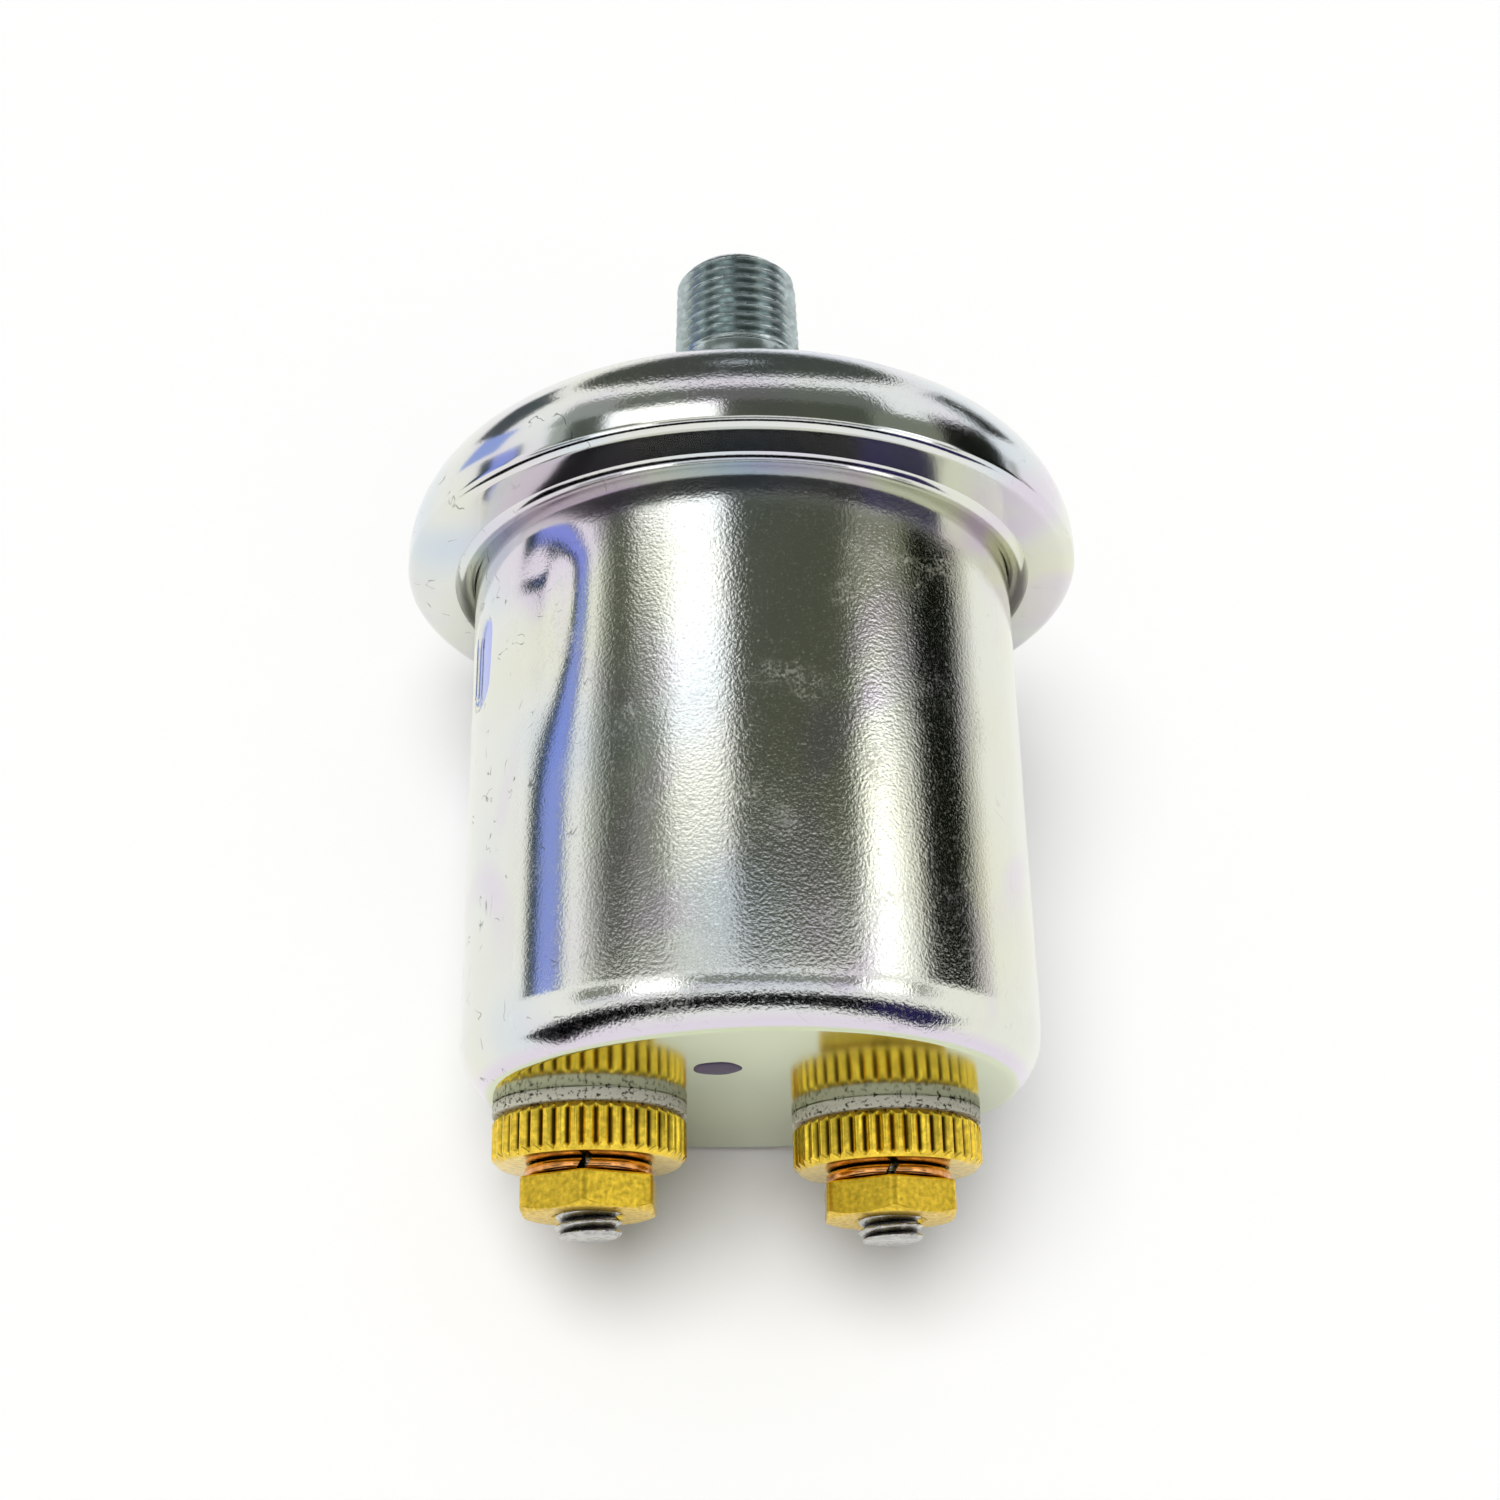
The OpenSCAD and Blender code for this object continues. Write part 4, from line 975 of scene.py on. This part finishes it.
class SWITCH_OT_range_coil(bpy.types.Operator):
    """Makes the range spring at one length; in the switch it shortens as the plunger swings the lever"""

    bl_idname = "pressure_switch.range_coil"
    bl_label = "Range spring"

    def execute(self, context):
        s = context.scene.switch_sizes
        centre, outer, low, high = box_axis("range_spring")
        wire = s.spring_wire
        steps = s.spring_turns * 36
        section = even(12)
        bm = bmesh.new()
        rings = []
        for i in range(steps + 1):
            angle = 2 * math.pi * s.spring_turns * i / steps
            y = low + wire + (high - low - 2 * wire) * i / steps
            ring = []
            for lean in section:
                radius = outer - wire + wire * math.cos(lean)
                ring.append(bm.verts.new(about(centre, radius, angle, y + wire * math.sin(lean))))
            rings.append(ring)
        skin(bm, rings)
        coil = stand_in(bm, "range_coil", "range_spring", "drawn_spring_wire")
        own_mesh(coil)
        return {"FINISHED"}


class SWITCH_OT_finishes(bpy.types.Operator):
    """Makes the materials"""

    bl_idname = "pressure_switch.finishes"
    bl_label = "Finishes"

    def execute(self, context):
        f = context.scene.switch_finishes
        sizes = context.scene.switch_sizes
        bright_zinc(f, sizes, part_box("can")[0].y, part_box("pressure_cap")[0].y)
        # Turned steel with a bluish zinc plate: a dull gleam in small spangles.
        plain_metal("blue_zinc_turned_steel", f.fitting, 0.2, 0.8, 0.004)
        # Rolled steel thread: bright crests and a dark colour at the bottom of the thread roots, but not on the cut
        # end.
        stud, _, low, high = box_axis("right_stud")
        root = sizes.stud_radius - sizes.stud_depth
        clean_end, fade = 0.05 * MM, 0.15 * MM
        plain_metal("bright_rolled_steel", f.stud, 0.22, 0.5, 0.004, (
            stud, root + 0.02 * MM, root + 0.22 * MM, (low + high) / 2, (high - low) / 2 - clean_end, fade,
            f.stud_dark))
        # Turned and knurled brass: shiny crests and chamfers, with painted shade at the bottom of the knurl's
        # grooves.
        _, _, _, crest, low, high = on_stud(sizes, "right", "knurled_nut")
        clean_end, fade = 0.3 * MM, 0.25 * MM
        plain_metal("turned_brass", f.brass, 0.16, 0.5, 0.003, (
            stud, crest - 0.9 * sizes.knurl_depth, crest - 0.5 * sizes.knurl_depth, (low + high) / 2,
            (high - low) / 2 - clean_end, fade, f.brass_groove_shade))
        # Tumbled brass: softer and mottled, with no sharp mirror.
        plain_metal("tumbled_brass", f.nut_brass, 0.32, 0.35, 0.005)
        # Drawn bronze wire: a bright copper line on the rounding, with painted shade, near black, on the faces all
        # along it.
        _, _, _, rim, low, _ = on_stud(sizes, "right", "lock_washer")
        everywhere = 1.0
        plain_metal("bronze_spring_wire", f.copper, 0.14, 0.6, 0.003, (
            stud, rim - 0.14 * MM, rim - 0.04 * MM, low, everywhere, MM, f.lock_washer_face_shade))
        # Pressed fibre sheet: matt and pale, with dark flecks. Dried lacquer: dark, smooth and hardly glossy.
        plain_solid("vulcanised_fibre", f.fibre, f.fibre_dark, 0.65, 0.3, 0.03)
        plain_solid("dried_lacquer", f.lacquer, f.lacquer, 0.4, 0.8, 0.004, 0.12)
        # Inner pieces: oiled pressings, drawn wire, blanked sheet, plain contacts, brown board and black rubber.
        plain_metal("pressed_oiled_steel", f.steel, 0.35, 0.6, 0.004)
        plain_metal("drawn_spring_wire", f.steel, 0.28, 0.3, 0.003)
        plain_metal("blanked_sheet_brass", f.sheet_brass, 0.3, 0.7, 0.004)
        plain_metal("contact_silver", f.silver, 0.22, 0.4, 0.003)
        plain_solid("pressed_phenolic_sheet", f.phenolic, f.rubber, 0.5, 0.5, 0.01)
        plain_solid("moulded_nitrile_rubber", f.rubber, f.steel, 0.7, 0.15, 0.01)
        return {"FINISHED"}


class SWITCH_OT_inner_pieces(bpy.types.Operator):
    """Finishes the inner pieces, which keep their CAD shapes"""

    bl_idname = "pressure_switch.inner_pieces"
    bl_label = "Inner pieces"

    def execute(self, context):
        finish_of = {
            "plain_steel": "pressed_oiled_steel",
            "brass": "turned_brass",
            "brass_sheet": "blanked_sheet_brass",
            "silver": "contact_silver",
            "phenolic": "pressed_phenolic_sheet",
            "nitrile": "moulded_nitrile_rubber",
            "fibre": "vulcanised_fibre",
        }
        for name, node in NODES.items():
            if not node.hide_render:
                node.data.materials.clear()
                node.data.materials.append(bpy.data.materials[finish_of[SLOT_OF[name]]])
        return {"FINISHED"}


class SWITCH_PT_panel(bpy.types.Panel):
    bl_label = "Pressure Switch"
    bl_idname = "SWITCH_PT_panel"
    bl_space_type = "VIEW_3D"
    bl_region_type = "UI"
    bl_category = "Pressure Switch"

    def draw(self, context):
        layout = self.layout
        for operator in OPERATORS:
            layout.operator(operator.bl_idname)
        for group in (context.scene.switch_sizes, context.scene.switch_finishes, context.scene.switch_stage):
            box = layout.box()
            for name in group.bl_rna.properties.keys():
                if name not in ("rna_type", "name"):
                    box.prop(group, name)


OPERATORS = (
    SWITCH_OT_stage, SWITCH_OT_finishes, SWITCH_OT_can, SWITCH_OT_cap, SWITCH_OT_port, SWITCH_OT_studs,
    SWITCH_OT_knurled_nuts, SWITCH_OT_hex_nuts, SWITCH_OT_washers, SWITCH_OT_seal, SWITCH_OT_range_coil,
    SWITCH_OT_inner_pieces)
GROUPS = (SwitchSizes, SwitchFinishes, SwitchStage)


def register():
    for made in GROUPS + OPERATORS + (SWITCH_PT_panel,):
        bpy.utils.register_class(made)
    bpy.types.Scene.switch_sizes = bpy.props.PointerProperty(type=SwitchSizes)
    bpy.types.Scene.switch_finishes = bpy.props.PointerProperty(type=SwitchFinishes)
    bpy.types.Scene.switch_stage = bpy.props.PointerProperty(type=SwitchStage)


def unregister():
    del bpy.types.Scene.switch_stage
    del bpy.types.Scene.switch_finishes
    del bpy.types.Scene.switch_sizes
    for made in reversed(GROUPS + OPERATORS + (SWITCH_PT_panel,)):
        bpy.utils.unregister_class(made)


def main():
    register()
    for operator in OPERATORS:
        group, name = operator.bl_idname.split(".")
        getattr(getattr(bpy.ops, group), name)()


if __name__ == "__main__":
    main()
